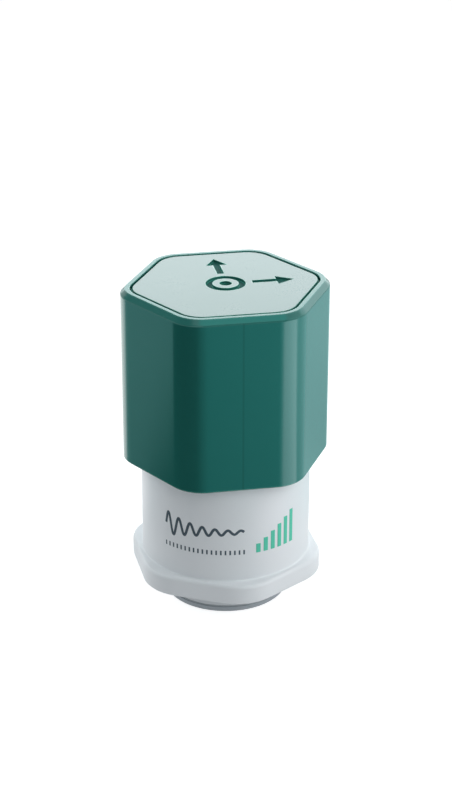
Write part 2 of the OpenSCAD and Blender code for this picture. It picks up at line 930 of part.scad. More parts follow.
module battery_pad() {
    color([0.25, 0.25, 0.27])
    difference() {
        rod(pad_d / 2, can_top, nub_top);
        rod(pad_bore / 2, can_top - past, nub_top + past);
    }
}

module board_tray() {
    color(grey_nylon)
    difference() {
        union() {
            rod(deck_r, tray_z, tray_top);
            around(standoff_angles, standoff_pitch)
                rod(standoff_d / 2, tray_top - past, board_z);
        }
        around(pillar_angles, pillar_pitch)
            rod(screw_hole_r, tray_z - past, tray_top + past);
        around(standoff_angles, standoff_pitch)
            rod(screw_hole_r, board_top - screw_l - past, board_z + past);
        cable_slot(tray_z - past, tray_top + past);
        strip_slot(negative_angle, tray_z - past, tray_top + past);
        strip_slot(positive_angle, tray_z - past, tray_top + past);
    }
}

module tray_screws() {
    color(tin)
        around(pillar_angles, pillar_pitch)
            small_screw(tray_top);
}

module radio_board() {
    color(board_green)
    difference() {
        rod(board_r, board_z, board_top);
        around(standoff_angles, standoff_pitch)
            rod(screw_hole_r, board_z - past, board_top + past);
        cable_slot(board_z - past, board_top + past);
    }
}

module board_screws() {
    color(tin)
        around(standoff_angles, standoff_pitch)
            small_screw(board_top);
}

// Screening can with a shallow pressed field in its top
module radio_module() {
    field_inset = 1.5;
    field_depth = 0.2;
    field = [radio_size[0] - 2 * field_inset, radio_size[1] - 2 * field_inset, past];
    color(tin)
    difference() {
        standing_block(radio_size, radio_at, board_top);
        standing_block(field, radio_at, board_top + radio_size[2] - field_depth);
    }
}

// Stamped inverted-F antenna: a plate on a feed leg and a ground leg
module antenna() {
    leg_w = 1.2;
    leg_gap = 3;
    left = antenna_at[0] - antenna_l / 2;
    front = antenna_at[1] - antenna_w / 2;
    color(brass)
    union() {
        translate([left, front, board_top + antenna_h - antenna_t])
            cube([antenna_l, antenna_w, antenna_t]);
        for (start = [0, leg_gap])
            translate([left + start, front, board_top])
                cube([leg_w, antenna_t, antenna_h]);
        translate([left + antenna_l - antenna_t, front, board_top])
            cube([antenna_t, antenna_w, antenna_h]);
    }
}

module processor_chip() {
    color(black_epoxy)
        chip(processor_size, processor_at, board_top);
}

module memory_chip() {
    color(black_epoxy)
        chip(memory_size, memory_at, board_top);
}

module clock_crystal() {
    color(tin)
        standing_block(crystal_size, crystal_at, board_top);
}

module buffer_capacitor() {
    color([0.75, 0.55, 0.15])
        standing_block(capacitor_size, capacitor_at, board_top);
}

// Glass tube with a bent lead at each end
module reed_switch() {
    lead_d = 0.5;
    axis_z = board_top + reed_d / 2 + hole_clear;
    lead_reach = reed_l / 2 + reed_lead_l;
    color([0.7, 0.85, 0.8])
    union() {
        translate([reed_at[0] - reed_l / 2, reed_at[1], axis_z])
            rotate([0, 90, 0])
                cylinder(d = reed_d, h = reed_l);
        for (side = [-1, 1]) {
            translate([reed_at[0] + side * lead_reach, reed_at[1], axis_z])
                rotate([0, -side * 90, 0])
                    cylinder(d = lead_d, h = reed_lead_l + past);
            translate([reed_at[0] + side * lead_reach, reed_at[1], 0])
                rod(lead_d / 2, board_top, axis_z + lead_d / 2);
        }
    }
}

module status_led() {
    color([0.8, 0.95, 0.8])
        standing_block(led_size, led_at, board_top);
}

cap();
lid_plate();
lid_tape();
cap_seal();
housing();
mounting_base();
base_gasket();
base_washer();
base_nut();
sensor_board();
sensor_screws();
accelerometer();
signal_chip();
sensor_connector();
temperature_probe();
flat_cable();
battery_cradle();
cradle_screws();
battery();
negative_contact();
positive_contact();
battery_pad();
board_tray();
tray_screws();
radio_board();
board_screws();
radio_module();
antenna();
processor_chip();
memory_chip();
clock_crystal();
buffer_capacitor();
reed_switch();
status_led();
board_connector();
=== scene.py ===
"""Looks of a wireless condition monitoring sensor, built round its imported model, in metres."""

import json
import math

import bmesh
import bpy
import numpy as np
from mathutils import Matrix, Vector


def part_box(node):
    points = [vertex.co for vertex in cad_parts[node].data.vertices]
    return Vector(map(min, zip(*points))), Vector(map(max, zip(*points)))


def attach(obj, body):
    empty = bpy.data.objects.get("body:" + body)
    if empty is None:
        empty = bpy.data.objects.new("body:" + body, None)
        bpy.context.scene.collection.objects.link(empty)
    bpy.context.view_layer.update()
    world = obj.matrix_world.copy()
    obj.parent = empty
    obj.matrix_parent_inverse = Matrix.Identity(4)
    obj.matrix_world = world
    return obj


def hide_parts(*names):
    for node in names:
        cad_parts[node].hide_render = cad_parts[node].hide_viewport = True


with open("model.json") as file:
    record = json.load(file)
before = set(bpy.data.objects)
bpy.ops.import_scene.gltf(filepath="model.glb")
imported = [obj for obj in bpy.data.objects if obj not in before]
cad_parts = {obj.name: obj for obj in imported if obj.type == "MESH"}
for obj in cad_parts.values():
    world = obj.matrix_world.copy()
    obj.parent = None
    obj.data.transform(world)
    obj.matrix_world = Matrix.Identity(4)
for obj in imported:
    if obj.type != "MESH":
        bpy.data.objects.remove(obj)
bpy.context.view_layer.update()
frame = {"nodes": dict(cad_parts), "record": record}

MM = 0.001

# The view: where the camera stands from the middle of the sensor, its lens and film width in mm
VIEW_AZIMUTH = -10.37
VIEW_ELEVATION = 24.48
VIEW_DISTANCE = 528.5 * MM
VIEW_TARGET = Vector((0.1 * MM, 0, 54.87 * MM))
LENS = 90
SENSOR = 36

# The studio: a lit paper floor, how much brighter the camera and reflections see it, and the air
FLOOR_COLOUR = (0.47, 0.48, 0.49, 1)
FLOOR_GLOW = 0.15
FLOOR_SEEN = 0.66
FLOOR_MIRRORED = 0.42
FLOOR_REACH = 6.0
FILL_COLOUR = (0.93, 0.97, 1.0, 1)
FILL_STRENGTH = 0.35
# Lamps: azimuth, elevation, distance, width, height, radiance, whether gloss shows it, colour
PLAIN = (1.0, 1.0, 1.0)
WARM = (1.0, 1.0, 1.05)
MINT = (0.28, 1.04, 1.03)
COOL = (0.62, 1.0, 1.02)
LAMP_AIM = 45 * MM
SOFTBOXES = {
    "key_right": (74, 28, 0.55, 0.4, 0.5, 2.8, False, PLAIN),
    "front_fill": (12, 38, 0.55, 0.3, 0.3, 1.5, False, PLAIN),
    "left_fill": (-130, 16, 0.6, 0.25, 0.5, 4.7, False, PLAIN),
    "back_panel": (172, 22, 0.6, 0.7, 0.3, 1.98, True, (0.89, 1.0, 1.03)),
}
# Cards that only gloss shows: azimuth, elevation, distance, width, height, level, colour
CARD_AIM = 86 * MM
CARDS = {
    "left_flag": (-88, 36, 0.4, 0.8, 0.44, 0.45, (0.6, 1.15, 1.1)),
    "front_card": (16, 20, 0.4, 0.3, 0.26, 0.5, (0.5, 1.05, 1.0)),
    "top_card": (22, 64, 0.4, 0.26, 0.24, 1.5, (0.5, 1.1, 1.05)),
    "low_card": (168, 7, 0.5, 0.6, 0.12, 3.0, (0.95, 1.0, 1.02)),
    "right_card": (118, 16, 0.4, 0.3, 0.24, 1.9, (0.93, 1.0, 1.03)),
}
UNSEEN_BY = ("camera", "diffuse", "transmission", "volume_scatter", "shadow")
# A ring of such cards on the floor: its two radii and its height in metres, its step in degrees
MAT_INNER = 0.06
MAT_REACH = 0.5
MAT_RISE = 0.2 * MM
MAT_STEP = 10
# Round that ring from the back past the left: azimuth, level and colour
MAT_LEVELS = (
    (-180, 1.4, PLAIN), (-128, 1.6, PLAIN), (-121, 0.56, COOL), (-104, 0.53, COOL),
    (-98, 0.0, PLAIN), (-26, 0.0, PLAIN), (-12, 0.25, MINT), (8, 0.52, MINT), (18, 0.66, MINT),
    (25, 1.2, COOL), (29, 2.0, WARM), (50, 2.35, WARM), (66, 2.6, WARM), (71, 1.3, COOL),
    (84, 1.15, COOL), (108, 1.12, COOL), (125, 0.78, COOL), (142, 0.82, COOL),
    (154, 1.2, PLAIN), (180, 1.3, PLAIN)
)
# How much brighter the cards are far out than near in, and from where to where they brighten
MAT_GAIN = 0.25
MAT_NEAR = 0.11
MAT_FAR = 0.2

# Steps round one corner of a hexagon, along one flat, across a rounded edge and along a lug
CORNER_STEPS = 16
FLAT_STEPS = 8
EDGE_STEPS = 5
ARC_STEPS = 12
# Degrees from one corner of a hexagon to the next, and the points of a ring that goes round it
HEX_TURN = 60
RING_COUNT = 6 * (CORNER_STEPS + FLAT_STEPS)
# Sides of a large round, of a small one and of a small hole
ROUND_STEPS = 96
ROD_STEPS = 48
HOLE_STEPS = 24
# A profile that closes on the axis ends at this share of its radius
POLE = 0.125
# How far a tool reaches past what it cuts and into what it joins, in mm
PAST = 1
INTO = 0.5
# Roundings of crisp, eased, low and soft edges, in mm
CRISP_R = 0.1
EASED_R = 0.15
LOW_R = 0.12
SOFT_R = 0.25
# How close points are merged, in a new body and in a finished piece, and what counts as level, in m
WELDED = 1e-7
MERGED = 2e-7
LEVEL_SLACK = 1e-6
# From which angle an edge stays sharp, and how strongly large faces pull the shading flat
SHARP_ANGLE = 34
SCREW_SHARP_ANGLE = 30
FLATNESS = 60

# Cap, in mm and degrees: outline, edges, seat, cored corners and bayonet slots
CAP_CORNER_R = 9.5
CAP_CHAMFER = 1.3
CAP_LOW_CHAMFER = 0.3
CAP_EDGE_R = 0.35
RECESS_EDGE_R = CAP_EDGE_R / 1.6
CAP_RIM = 1.2
CAP_WALL = 2.2
CAP_LOW_FLAT = 0.4
CAP_ROOF_R = 0.8
CAP_SHOULDER_R = 0.7
RECESS_CORNER_R = 7.5
CORE_RING = 1.0
CORE_TOP = 76.5
CORE_STEPS = 13
MOUTH_R = 22.8
BORE_R = 21.5
SEAT_Z = 45.29
ROOF_Z = 84.4
SLOT_R = 22.4
SLOT_LOW = 51.85
SLOT_HIGH = 54.55
LUG_ANGLE = 14
LOCK_TURN = 34
SLOT_SLACK = 1
ENTRY_OUT = 0.1
ENTRY_OVER = 1.3
BOSS_ANGLES = (0, 120, 240)
RUN_STEPS = 24

# Lid plate, in mm: corners, rebated edge and engraved mark
PLATE_CORNER_R = 7.25
REBATE_W = 0.45
REBATE_D = 0.7
REBATE_R = 0.05
PLATE_EDGE_R = 0.16
MARK_DEPTH = 0.8
MARK_LINE = 1.8
MARK_RING_R = 5.2
MARK_DOT_R = 1.6
MARK_REACH = 18.0
MARK_HEAD_L = 4.6
MARK_HEAD_W = 5.6
MARK_EDGE = 0.09
MARK_STEEP = 1.2
ISLAND_ROOT = 0.2

# Housing, in mm and degrees: wall, foot, collar, neck, lugs, screw bosses and keyed hole
BODY_R = 22.55
CAVITY_R = 19.3
NECK_R = 21.3
FOOT_R = 16.45
FOOT_CHAMFER = 0.3
COLLAR_APOTHEM = 24.1
COLLAR_CORNER_R = 12.1
COLLAR_TURN = -27.2
COLLAR_LOW = 7.4
COLLAR_TOP = 12.8
COLLAR_EDGE_R = 1.0
COLLAR_LOW_CHAMFER = 0.4
COLLAR_FILLET = 0.5
COLLAR_FLAT = 0.6
FILLET_FLAT = 0.02
COLLAR_LOW_R = 0.2
FLOOR_Z = 10.6
SHOULDER_Z = 44.0
NECK_CHAMFER = 0.6
LUG_OUT = 0.9
LUG_LOW = 52.0
LUG_HIGH = 54.4
BOSS_R = 2.6
BOSS_PITCH = 16.9
BOSS_TOP = 20.5
SCREW_HOLE_R = 1.1
BOSS_HOLE_LOW = 17.0
SPIGOT_HOLE_R = 12.1
SPIGOT_HOLE_FLAT = 10.8
CAVITY_FLOOR_R = 0.4

# Mounting base, in mm and degrees: spigot, flange, stud hole, threads and small holes
SPIGOT_R = 12.0
SPIGOT_FLAT = 10.7
SPIGOT_TOP = 10.5
SPIGOT_END_R = 10.0
END_TOP = 15.2
FLANGE_T = 1.35
FLANGE_CHAMFER = 0.3
STUD_R = 3.4
STUD_DEPTH = 9.0
DRILL_POINT = 2.04
STUD_PITCH = 1.25
STUD_THREAD = 0.45
END_PITCH = 1.5
END_THREAD = 0.5
THREAD_STEPS = 8
KEYED_STEPS = 72
DRILL_STEP = 0.02
MOUTH_OUT = 1.1
MOUTH_IN = 0.05
MOUTH_DEPTH = 0.65
BASE_HOLE_PITCH = 8.0
BASE_SCREW_ANGLES = (90, 210, 330)
BASE_SCREW_LOW = 11.3
PROBE_ANGLE = 30
PROBE_R = 1.3
PROBE_LOW = 3.0

# Small socket screws, in mm, and for each set its first angle and the angle to the next screw
SCREW_HEAD_R = 1.7
SCREW_HEAD_H = 1.3
SCREW_HEAD_ROUND = 0.25
SCREW_R = 1.0
SCREW_PITCH = 0.4
SCREW_THREAD = 0.16
SOCKET_R = 0.77
SOCKET_DEPTH = 0.78
HEAD_ROOT = 0.1
HEAD_DISH = 0.001
HEAD_LOW_R = 0.05
HEAD_INTO = 0.2
SCREW_STEPS = 32
SCREW_COUNT = 3
SCREW_SETS = (
    ("sensor_screws", 90, 120), ("cradle_screws", 0, 120), ("tray_screws", 90, 90),
    ("board_screws", 0, 120)
)

# Solder pads, in mm: length, width, height, how far they stand out, and for each chip their pitch
PAD_L = 0.9
PAD_W = 0.32
PAD_H = 0.16
PAD_OUT = 0.22
PAD_SETS = (
    ("processor_chip", 0.65), ("memory_chip", 0.8), ("signal_chip", 0.65), ("accelerometer", 0.8),
    ("radio_module", 1.27)
)

# Print on the wall, in mm and degrees: a fading trace over a scale, and a row of level bars
INK_RISE = 0.03
TIP_SIDES = 10
TRACE_FROM = -54
TRACE_TO = 2
TRACE_HEIGHT = 27.2
TRACE_AMPLITUDE = 3.6
TRACE_WAVES = 6.5
TRACE_DECAY = 2.1
TRACE_LINE = 0.75
SCALE_HEIGHT = 20.6
SCALE_COUNT = 19
SCALE_TICK = 1.3
SCALE_LINE = 0.45
LEVEL_FROM = 12
LEVEL_COUNT = 6
LEVEL_PITCH = 2.15
LEVEL_LOW = 2.6
LEVEL_HIGH = 9.6
LEVEL_LINE = 1.3

# Finishes: screen colour of the teal plastic, and how the shared effects change a surface
TEAL = (27, 95, 88)
CLOUD_SCALE = 38.0
PATCH_SCALE = 260.0
DRIFT_SCALE = 420.0
FLECK_SCALE = 900.0
# The painted edge highlight: the turn of a rounded edge's normal where it starts and where it is full
HIGHLIGHT_FROM = 0.995
HIGHLIGHT_FULL = 0.86
SPECK = 0.05
DUST_ROUGHNESS = 0.4
SEAM_W = 0.7
SEAM_DEPTH = 4.0
SUNK_DEPTH = 0.3
SUNK_SOFT = 0.2
SUNK_ROUGHNESS = 0.5
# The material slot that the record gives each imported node
NODE_SLOTS = {row["node"]: row["material_slot"] for row in frame["record"]["subparts"]}


def hexagon(apothem, corner_r, turn=0.0):
    """Plan points of a hexagon with round corners, its flats facing +Y and -Y before its turn."""
    reach = (apothem - corner_r) / math.cos(math.radians(HEX_TURN / 2))
    points = []
    for side in range(6):
        corner = math.radians(HEX_TURN * side + turn)
        after = math.radians(HEX_TURN * (side + 1) + turn)
        here = reach * np.array((math.cos(corner), math.sin(corner)))
        beyond = reach * np.array((math.cos(after), math.sin(after)))
        for step in range(CORNER_STEPS + 1):
            facing = corner + math.radians(HEX_TURN * (step / CORNER_STEPS - 0.5))
            points.append(here + corner_r * np.array((math.cos(facing), math.sin(facing))))
        facing = corner + math.radians(HEX_TURN / 2)
        out = corner_r * np.array((math.cos(facing), math.sin(facing)))
        for step in range(1, FLAT_STEPS):
            share = step / FLAT_STEPS
            points.append(here * (1 - share) + beyond * share + out)
    return np.array(points)


def circle(radius, turn=0.0, count=RING_COUNT):
    """Plan points of a circle that pair with a hexagon's, corner middle against corner middle."""
    lead = CORNER_STEPS / 2 / RING_COUNT
    angles = 2 * math.pi * (np.arange(count) / count - lead) + math.radians(turn)
    return radius * np.column_stack((np.cos(angles), np.sin(angles)))


def rounded(profile, radii):
    """A profile of (width, height, corner radius) with each inner corner turned into an arc."""
    points = [np.array(p, float) for p in profile]
    path = [points[0]]
    for before, here, after, radius in zip(points, points[1:], points[2:], radii):
        if radius <= 0:
            path.append(here)
            continue
        back = (before - here) / np.linalg.norm(before - here)
        ahead = (after - here) / np.linalg.norm(after - here)
        half = math.acos(max(-1.0, min(1.0, float(back @ ahead)))) / 2
        middle = back + ahead
        centre = here + middle / np.linalg.norm(middle) * radius / math.sin(half)
        start = here + back * radius / math.tan(half) - centre
        end = here + ahead * radius / math.tan(half) - centre
        sweep = math.pi - 2 * half
        for step in range(EDGE_STEPS + 1):
            share = step / EDGE_STEPS
            arm = math.sin((1 - share) * sweep) * start + math.sin(share * sweep) * end
            path.append(centre + arm / math.sin(sweep))
    path.append(points[-1])
    return path


def raised(outline, height):
    """Plan points at a height."""
    return np.column_stack((outline, np.full(len(outline), height)))


def hexagon_rings(path, turn=0.0):
    """One ring of points for each (apothem, height, corner radius) of a path."""
    return [raised(hexagon(a, r, turn), z) for a, z, r in path]


def circle_rings(path, turn=0.0, count=RING_COUNT):
    """One ring of points for each radius and height of a path, whatever else it gives."""
    return [raised(circle(p[0], turn, count), p[1]) for p in path]


def loft(rings):
    """A closed body through rings of equal count, with its first and last ring filled."""
    body = bmesh.new()
    rows = [[body.verts.new(point) for point in ring * MM] for ring in rings]
    count = len(rows[0])
    for low, high in zip(rows, rows[1:]):
        for i in range(count):
            j = (i + 1) % count
            body.faces.new((low[i], low[j], high[j], high[i]))
    body.faces.new(rows[0][::-1])
    body.faces.new(rows[-1])
    bmesh.ops.remove_doubles(body, verts=body.verts, dist=WELDED)
    bmesh.ops.recalc_face_normals(body, faces=body.faces)
    return body


def prism(outline, low, high):
    """An upright body on a plan outline, in mm."""
    return loft([raised(np.array(outline, float), z) for z in (low, high)])


def rod(radius, low, high, centre=(0, 0), count=ROD_STEPS):
    """An upright cylinder, in mm."""
    return prism(circle(radius, count=count) + np.array(centre), low, high)


def arc_wedge(inner, outer, low, high, start, angle, steps=ARC_STEPS):
    """A piece of a ring between two radii and two heights, from a start angle, in mm."""
    turns = np.radians(start + angle * np.arange(steps + 1) / steps)
    spokes = np.column_stack((np.cos(turns), np.sin(turns)))
    return prism(np.vstack((inner * spokes, (outer * spokes)[::-1])), low, high)


def threaded(radius, depth, pitch, low, high, count=ROUND_STEPS):
    """Rings of an upright rod with a helical thread that swings between a radius and its depth."""
    rows = round((high - low) / pitch * THREAD_STEPS)
    share = np.arange(count) / count
    turns = 2 * math.pi * share
    spokes = np.column_stack((np.cos(turns), np.sin(turns)))
    rings = []
    for row in range(rows + 1):
        z = low + (high - low) * row / rows
        climb = (z / pitch - share) % 1
        reach = radius + depth * np.abs(2 * climb - 1)
        rings.append(raised(reach[:, None] * spokes, z))
    return rings


def at_angle(pitch, angle):
    """The plan point at a distance from the axis and an angle."""
    turn = math.radians(angle)
    return pitch * math.cos(turn), pitch * math.sin(turn)


def put(name, data):
    """A scene object that holds a mesh, lamp or camera, at the origin."""
    thing = bpy.data.objects.new(name, data)
    bpy.context.scene.collection.objects.link(thing)
    return thing


def new_piece(name, body):
    """A scene object that holds a body's mesh."""
    mesh = bpy.data.meshes.new(name)
    body.to_mesh(mesh)
    body.free()
    return put(name, mesh)


def discard(piece):
    """Removes a helper object and its mesh."""
    spent = piece.data
    bpy.data.objects.remove(piece)
    bpy.data.meshes.remove(spent)


def settle(piece):
    """Turns a piece's modifiers into its own mesh."""
    graph = bpy.context.evaluated_depsgraph_get()
    graph.update()
    done = bpy.data.meshes.new_from_object(piece.evaluated_get(graph), depsgraph=graph)
    piece.modifiers.clear()
    old = piece.data
    piece.data = done
    done.name = piece.name
    bpy.data.meshes.remove(old)


def cut(piece, bodies, operation="DIFFERENCE"):
    """Cuts bodies out of a piece, or adds them to it, one after another."""
    for body in bodies:
        tool = new_piece("tool", body)
        change = piece.modifiers.new("change", "BOOLEAN")
        change.operation = operation
        change.solver = "EXACT"
        change.object = tool
        settle(piece)
        discard(tool)


def smooth(piece, sharp_angle=SHARP_ANGLE):
    """Smooth shading that keeps flat faces flat and breaks at sharp edges."""
    mesh = piece.data
    body = bmesh.new()
    body.from_mesh(mesh)
    bmesh.ops.remove_doubles(body, verts=body.verts, dist=MERGED)
    bmesh.ops.dissolve_degenerate(body, edges=body.edges, dist=WELDED)
    body.to_mesh(mesh)
    body.free()
    mesh.shade_smooth()
    mesh.set_sharp_from_angle(angle=math.radians(sharp_angle))
    weigh = piece.modifiers.new("weigh", "WEIGHTED_NORMAL")
    weigh.keep_sharp = True
    weigh.weight = FLATNESS
    settle(piece)


def extent(node):
    """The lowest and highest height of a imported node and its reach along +Y, in mm."""
    low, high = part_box(node)
    return low.z / MM, high.z / MM, high.y / MM


def finish_piece(piece, finish, *nodes):
    """Gives a piece the material of that name and its place, and hides the imported nodes it replaces.
    """
    piece.data.materials.clear()
    piece.data.materials.append(MATERIALS[finish])
    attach(piece, "root")
    if nodes:
        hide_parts(*nodes)


# Kinds of socket, and the kind that a first value stands for
COLOUR, SHAPE, FLOAT = "NodeSocketColor", "NodeSocketGeometry", "NodeSocketFloat"
FINISH, THING = "NodeSocketMaterial", "NodeSocketObject"
KINDS = {float: FLOAT, int: "NodeSocketInt", tuple: "NodeSocketVector"}


class Wires:
    """Short ways to add and join nodes in one tree, for shaders and for geometry."""

    def __init__(self, tree):
        self.tree = tree

    def feed(self, sockets, values):
        for key, value in values.items():
            if isinstance(value, bpy.types.NodeSocket):
                self.tree.links.new(value, sockets[key])
            else:
                sockets[key].default_value = value

    def node(self, kind, values=None, **settings):
        made = self.tree.nodes.new(kind)
        for key, value in settings.items():
            setattr(made, key, value)
        self.feed(made.inputs, values or {})
        return made

    def sum(self, operation, first, second=0.5, third=0.5, clamp=False):
        values = {0: first, 1: second, 2: third}
        return self.node("ShaderNodeMath", values, operation=operation, use_clamp=clamp).outputs[0]

    def spread(self, value, low, high, to_low=0.0, to_high=1.0):
        made = self.node("ShaderNodeMapRange", {
            "Value": value, "From Min": low, "From Max": high, "To Min": to_low, "To Max": to_high
        })
        return made.outputs["Result"]

    def blend(self, share, first, second):
        values = {0: share, 6: first, 7: second}
        return self.node("ShaderNodeMix", values, data_type="RGBA").outputs[2]

    def dimmed(self, colour, value):
        made = self.node("ShaderNodeHueSaturation", {"Color": colour, "Value": value})
        return made.outputs["Color"]

    def noise(self, place, scale, detail=2.0, roughness=0.5):
        made = self.node("ShaderNodeTexNoise", {
            "Vector": place, "Scale": scale, "Detail": detail, "Roughness": roughness
        })
        return made.outputs["Fac"]

    def vector(self, operation, *values):
        made = self.node("ShaderNodeVectorMath", dict(enumerate(values)), operation=operation)
        return made.outputs["Value" if operation in ("LENGTH", "DOT_PRODUCT") else "Vector"]

    def split(self, vector):
        return self.node("ShaderNodeSeparateXYZ", {0: vector}).outputs

    def point(self, x, y, z):
        return self.node("ShaderNodeCombineXYZ", {"X": x, "Y": y, "Z": z}).outputs[0]

    def place(self):
        return self.node("ShaderNodeTexCoord").outputs["Object"]

    def facing(self):
        return self.node("ShaderNodeNewGeometry").outputs["Normal"]

    def moved(self, geometry, place):
        made = self.node("GeometryNodeSetPosition", {"Geometry": geometry, "Position": place})
        return made.outputs["Geometry"]

    def copies(self, points, thing, **values):
        values = {"Points": points, "Instance": thing} | values
        return self.node("GeometryNodeInstanceOnPoints", values).outputs["Instances"]

    def end(self, results):
        self.feed(self.out, results)
        return self.tree


def new_group(name, inputs, outputs, tree="ShaderNodeTree"):
    """The wires of an empty node group. An input gets a first value or only its kind."""
    w = Wires(bpy.data.node_groups.new(name, tree))
    for label, value in inputs.items():
        kind = value if isinstance(value, str) else KINDS[type(value)]
        socket = w.tree.interface.new_socket(label, in_out="INPUT", socket_type=kind)
        if kind != value:
            socket.default_value = value
    for label, kind in outputs.items():
        w.tree.interface.new_socket(label, in_out="OUTPUT", socket_type=kind)
    w.given = w.node("NodeGroupInput").outputs
    w.out = w.node("NodeGroupOutput").inputs
    return w


def make_moulded_grain():
    """Fine spark grain of a moulded surface: a little uneven in colour and gloss, with a soft height."""
    w = new_group(
        "moulded_grain",
        {"Color": COLOUR, "Unevenness": 0.06, "Roughness": 0.3, "Gloss Spread": 0.06,
         "Grain Size": 0.35},
        {"Color": COLOUR, "Roughness": FLOAT, "Height": FLOAT},
    )
    place = w.place()
    per_metre = w.sum("DIVIDE", 1 / MM, w.given["Grain Size"])
    fine = w.noise(place, per_metre, detail=3.0, roughness=0.6)
    cloud = w.sum("SUBTRACT", w.noise(place, CLOUD_SCALE, detail=3.0, roughness=0.55), 0.5)
    swing = w.sum("MULTIPLY", cloud, w.given["Unevenness"])
    colour = w.dimmed(w.given["Color"], w.sum("ADD", 1.0, swing))
    gloss = w.sum("MULTIPLY_ADD", cloud, w.given["Gloss Spread"], w.given["Roughness"])
    speck = w.sum("MULTIPLY_ADD", w.sum("SUBTRACT", fine, 0.5), SPECK, gloss)
    return w.end({"Color": colour, "Roughness": speck, "Height": fine})


def make_edge_highlight():
    """A mask of a painted highlight along outer edges, broken up by noise into patches."""
    w = new_group("edge_rub", {"Width": 0.4, "Strength": 1.0, "Patchiness": 0.5}, {"Mask": FLOAT})
    place = w.place()
    reach = w.sum("MULTIPLY", w.given["Width"], MM)
    bevel = w.node("ShaderNodeBevel", {"Radius": reach}, samples=6)
    turn = w.vector("DOT_PRODUCT", bevel.outputs["Normal"], w.facing())
    edge = w.spread(turn, HIGHLIGHT_FROM, HIGHLIGHT_FULL)
    patch = w.spread(w.noise(place, PATCH_SCALE, detail=3.0, roughness=0.6), 0.3, 0.7)
    highlight = w.blend(w.given["Patchiness"], (1, 1, 1, 1), patch)
    mask = w.sum("MULTIPLY", edge, highlight, clamp=True)
    return w.end({"Mask": w.sum("MULTIPLY", mask, w.given["Strength"], clamp=True)})


def make_settled_dust():
    """A mask of fine dust that settles in flecks on faces that look up."""
    w = new_group("settled_dust", {"Amount": 0.1}, {"Mask": FLOAT})
    up = w.spread(w.split(w.facing())["Z"], 0.2, 1.0)
    fleck = w.spread(w.noise(w.place(), FLECK_SCALE, detail=4.0, roughness=0.7), 0.45, 0.75)
    mask = w.sum("MULTIPLY", up, fleck)
    return w.end({"Mask": w.sum("MULTIPLY", mask, w.given["Amount"], clamp=True)})


def make_turned_lines():
    """The height of the fine rings that a lathe leaves round the Z axis."""
    w = new_group("turned_lines", {"Pitch": 0.12}, {"Height": FLOAT})
    place = w.place()
    axes = w.split(place)
    away = w.vector("LENGTH", w.point(axes["X"], axes["Y"], 0))
    travel = w.sum("ADD", away, axes["Z"])
    turns = w.sum("DIVIDE", travel, w.sum("MULTIPLY", w.given["Pitch"], MM))
    wave = w.sum("SINE", w.sum("MULTIPLY", turns, 2 * math.pi))
    return w.end({"Height": w.sum("MULTIPLY_ADD", wave, 0.5, w.noise(place, DRIFT_SCALE))})


def make_parting_line():
    """A mask of the thin line down the middle of two opposite sides, where a mould's halves meet."""
    w = new_group("parting_line", {"Width": 0.3, "Strength": 0.5}, {"Mask": FLOAT})
    aside = w.sum("ABSOLUTE", w.split(w.place())["X"])
    half = w.sum("MULTIPLY", w.given["Width"], MM / 2)
    inside = w.spread(w.sum("DIVIDE", aside, half), 1.0, 0.4)
    upright = w.spread(w.sum("ABSOLUTE", w.split(w.facing())["Y"]), 0.9, 0.98)
    mask = w.sum("MULTIPLY", inside, upright, clamp=True)
    return w.end({"Mask": w.sum("MULTIPLY", mask, w.given["Strength"])})


def make_sunk_floor():
    """A mask of what lies under a level, such as the unpolished floor of an engraved mark."""
    w = new_group("sunk_floor", {"Level": 0.0, "Softness": 0.1 * MM}, {"Mask": FLOAT})
    under = w.sum("SUBTRACT", w.given["Level"], w.split(w.place())["Z"])
    return w.end({"Mask": w.sum("DIVIDE", under, w.given["Softness"], clamp=True)})


# The groups that the materials share, and every material by its name
GRAIN = make_moulded_grain()
EDGE_HIGHLIGHT = make_edge_highlight()
DUST = make_settled_dust()
LINES = make_turned_lines()
SEAM = make_parting_line()
SUNK = make_sunk_floor()
MATERIALS = {}


def new_material(name):
    """A new node material's wires and the inputs of its shader."""
    material = bpy.data.materials.new(name)
    material.use_nodes = True
    MATERIALS[name] = material
    return Wires(material.node_tree), material.node_tree.nodes["Principled BSDF"].inputs


def use_group(w, group, values):
    """The outputs of a shared group placed in a material with its own values."""
    return w.node("ShaderNodeGroup", values, node_tree=group).outputs


def bumped(w, shader, height, strength, depth):
    """Lets a height bend the light on a shader, as relief of a depth in mm."""
    bump = w.node("ShaderNodeBump", {
        "Height": height, "Strength": strength, "Distance": depth * MM
    })
    w.feed(shader, {"Normal": bump.outputs["Normal"]})


def rgb(red, green, blue):
    """A colour given as it looks on screen, from 0 to 255, as the linear colour that a shader reads."""
    linear = []
    for part in (red, green, blue):
        c = part / 255
        linear.append(c / 12.92 if c <= 0.04045 else ((c + 0.055) / 1.055) ** 2.4)
    return (*linear, 1.0)


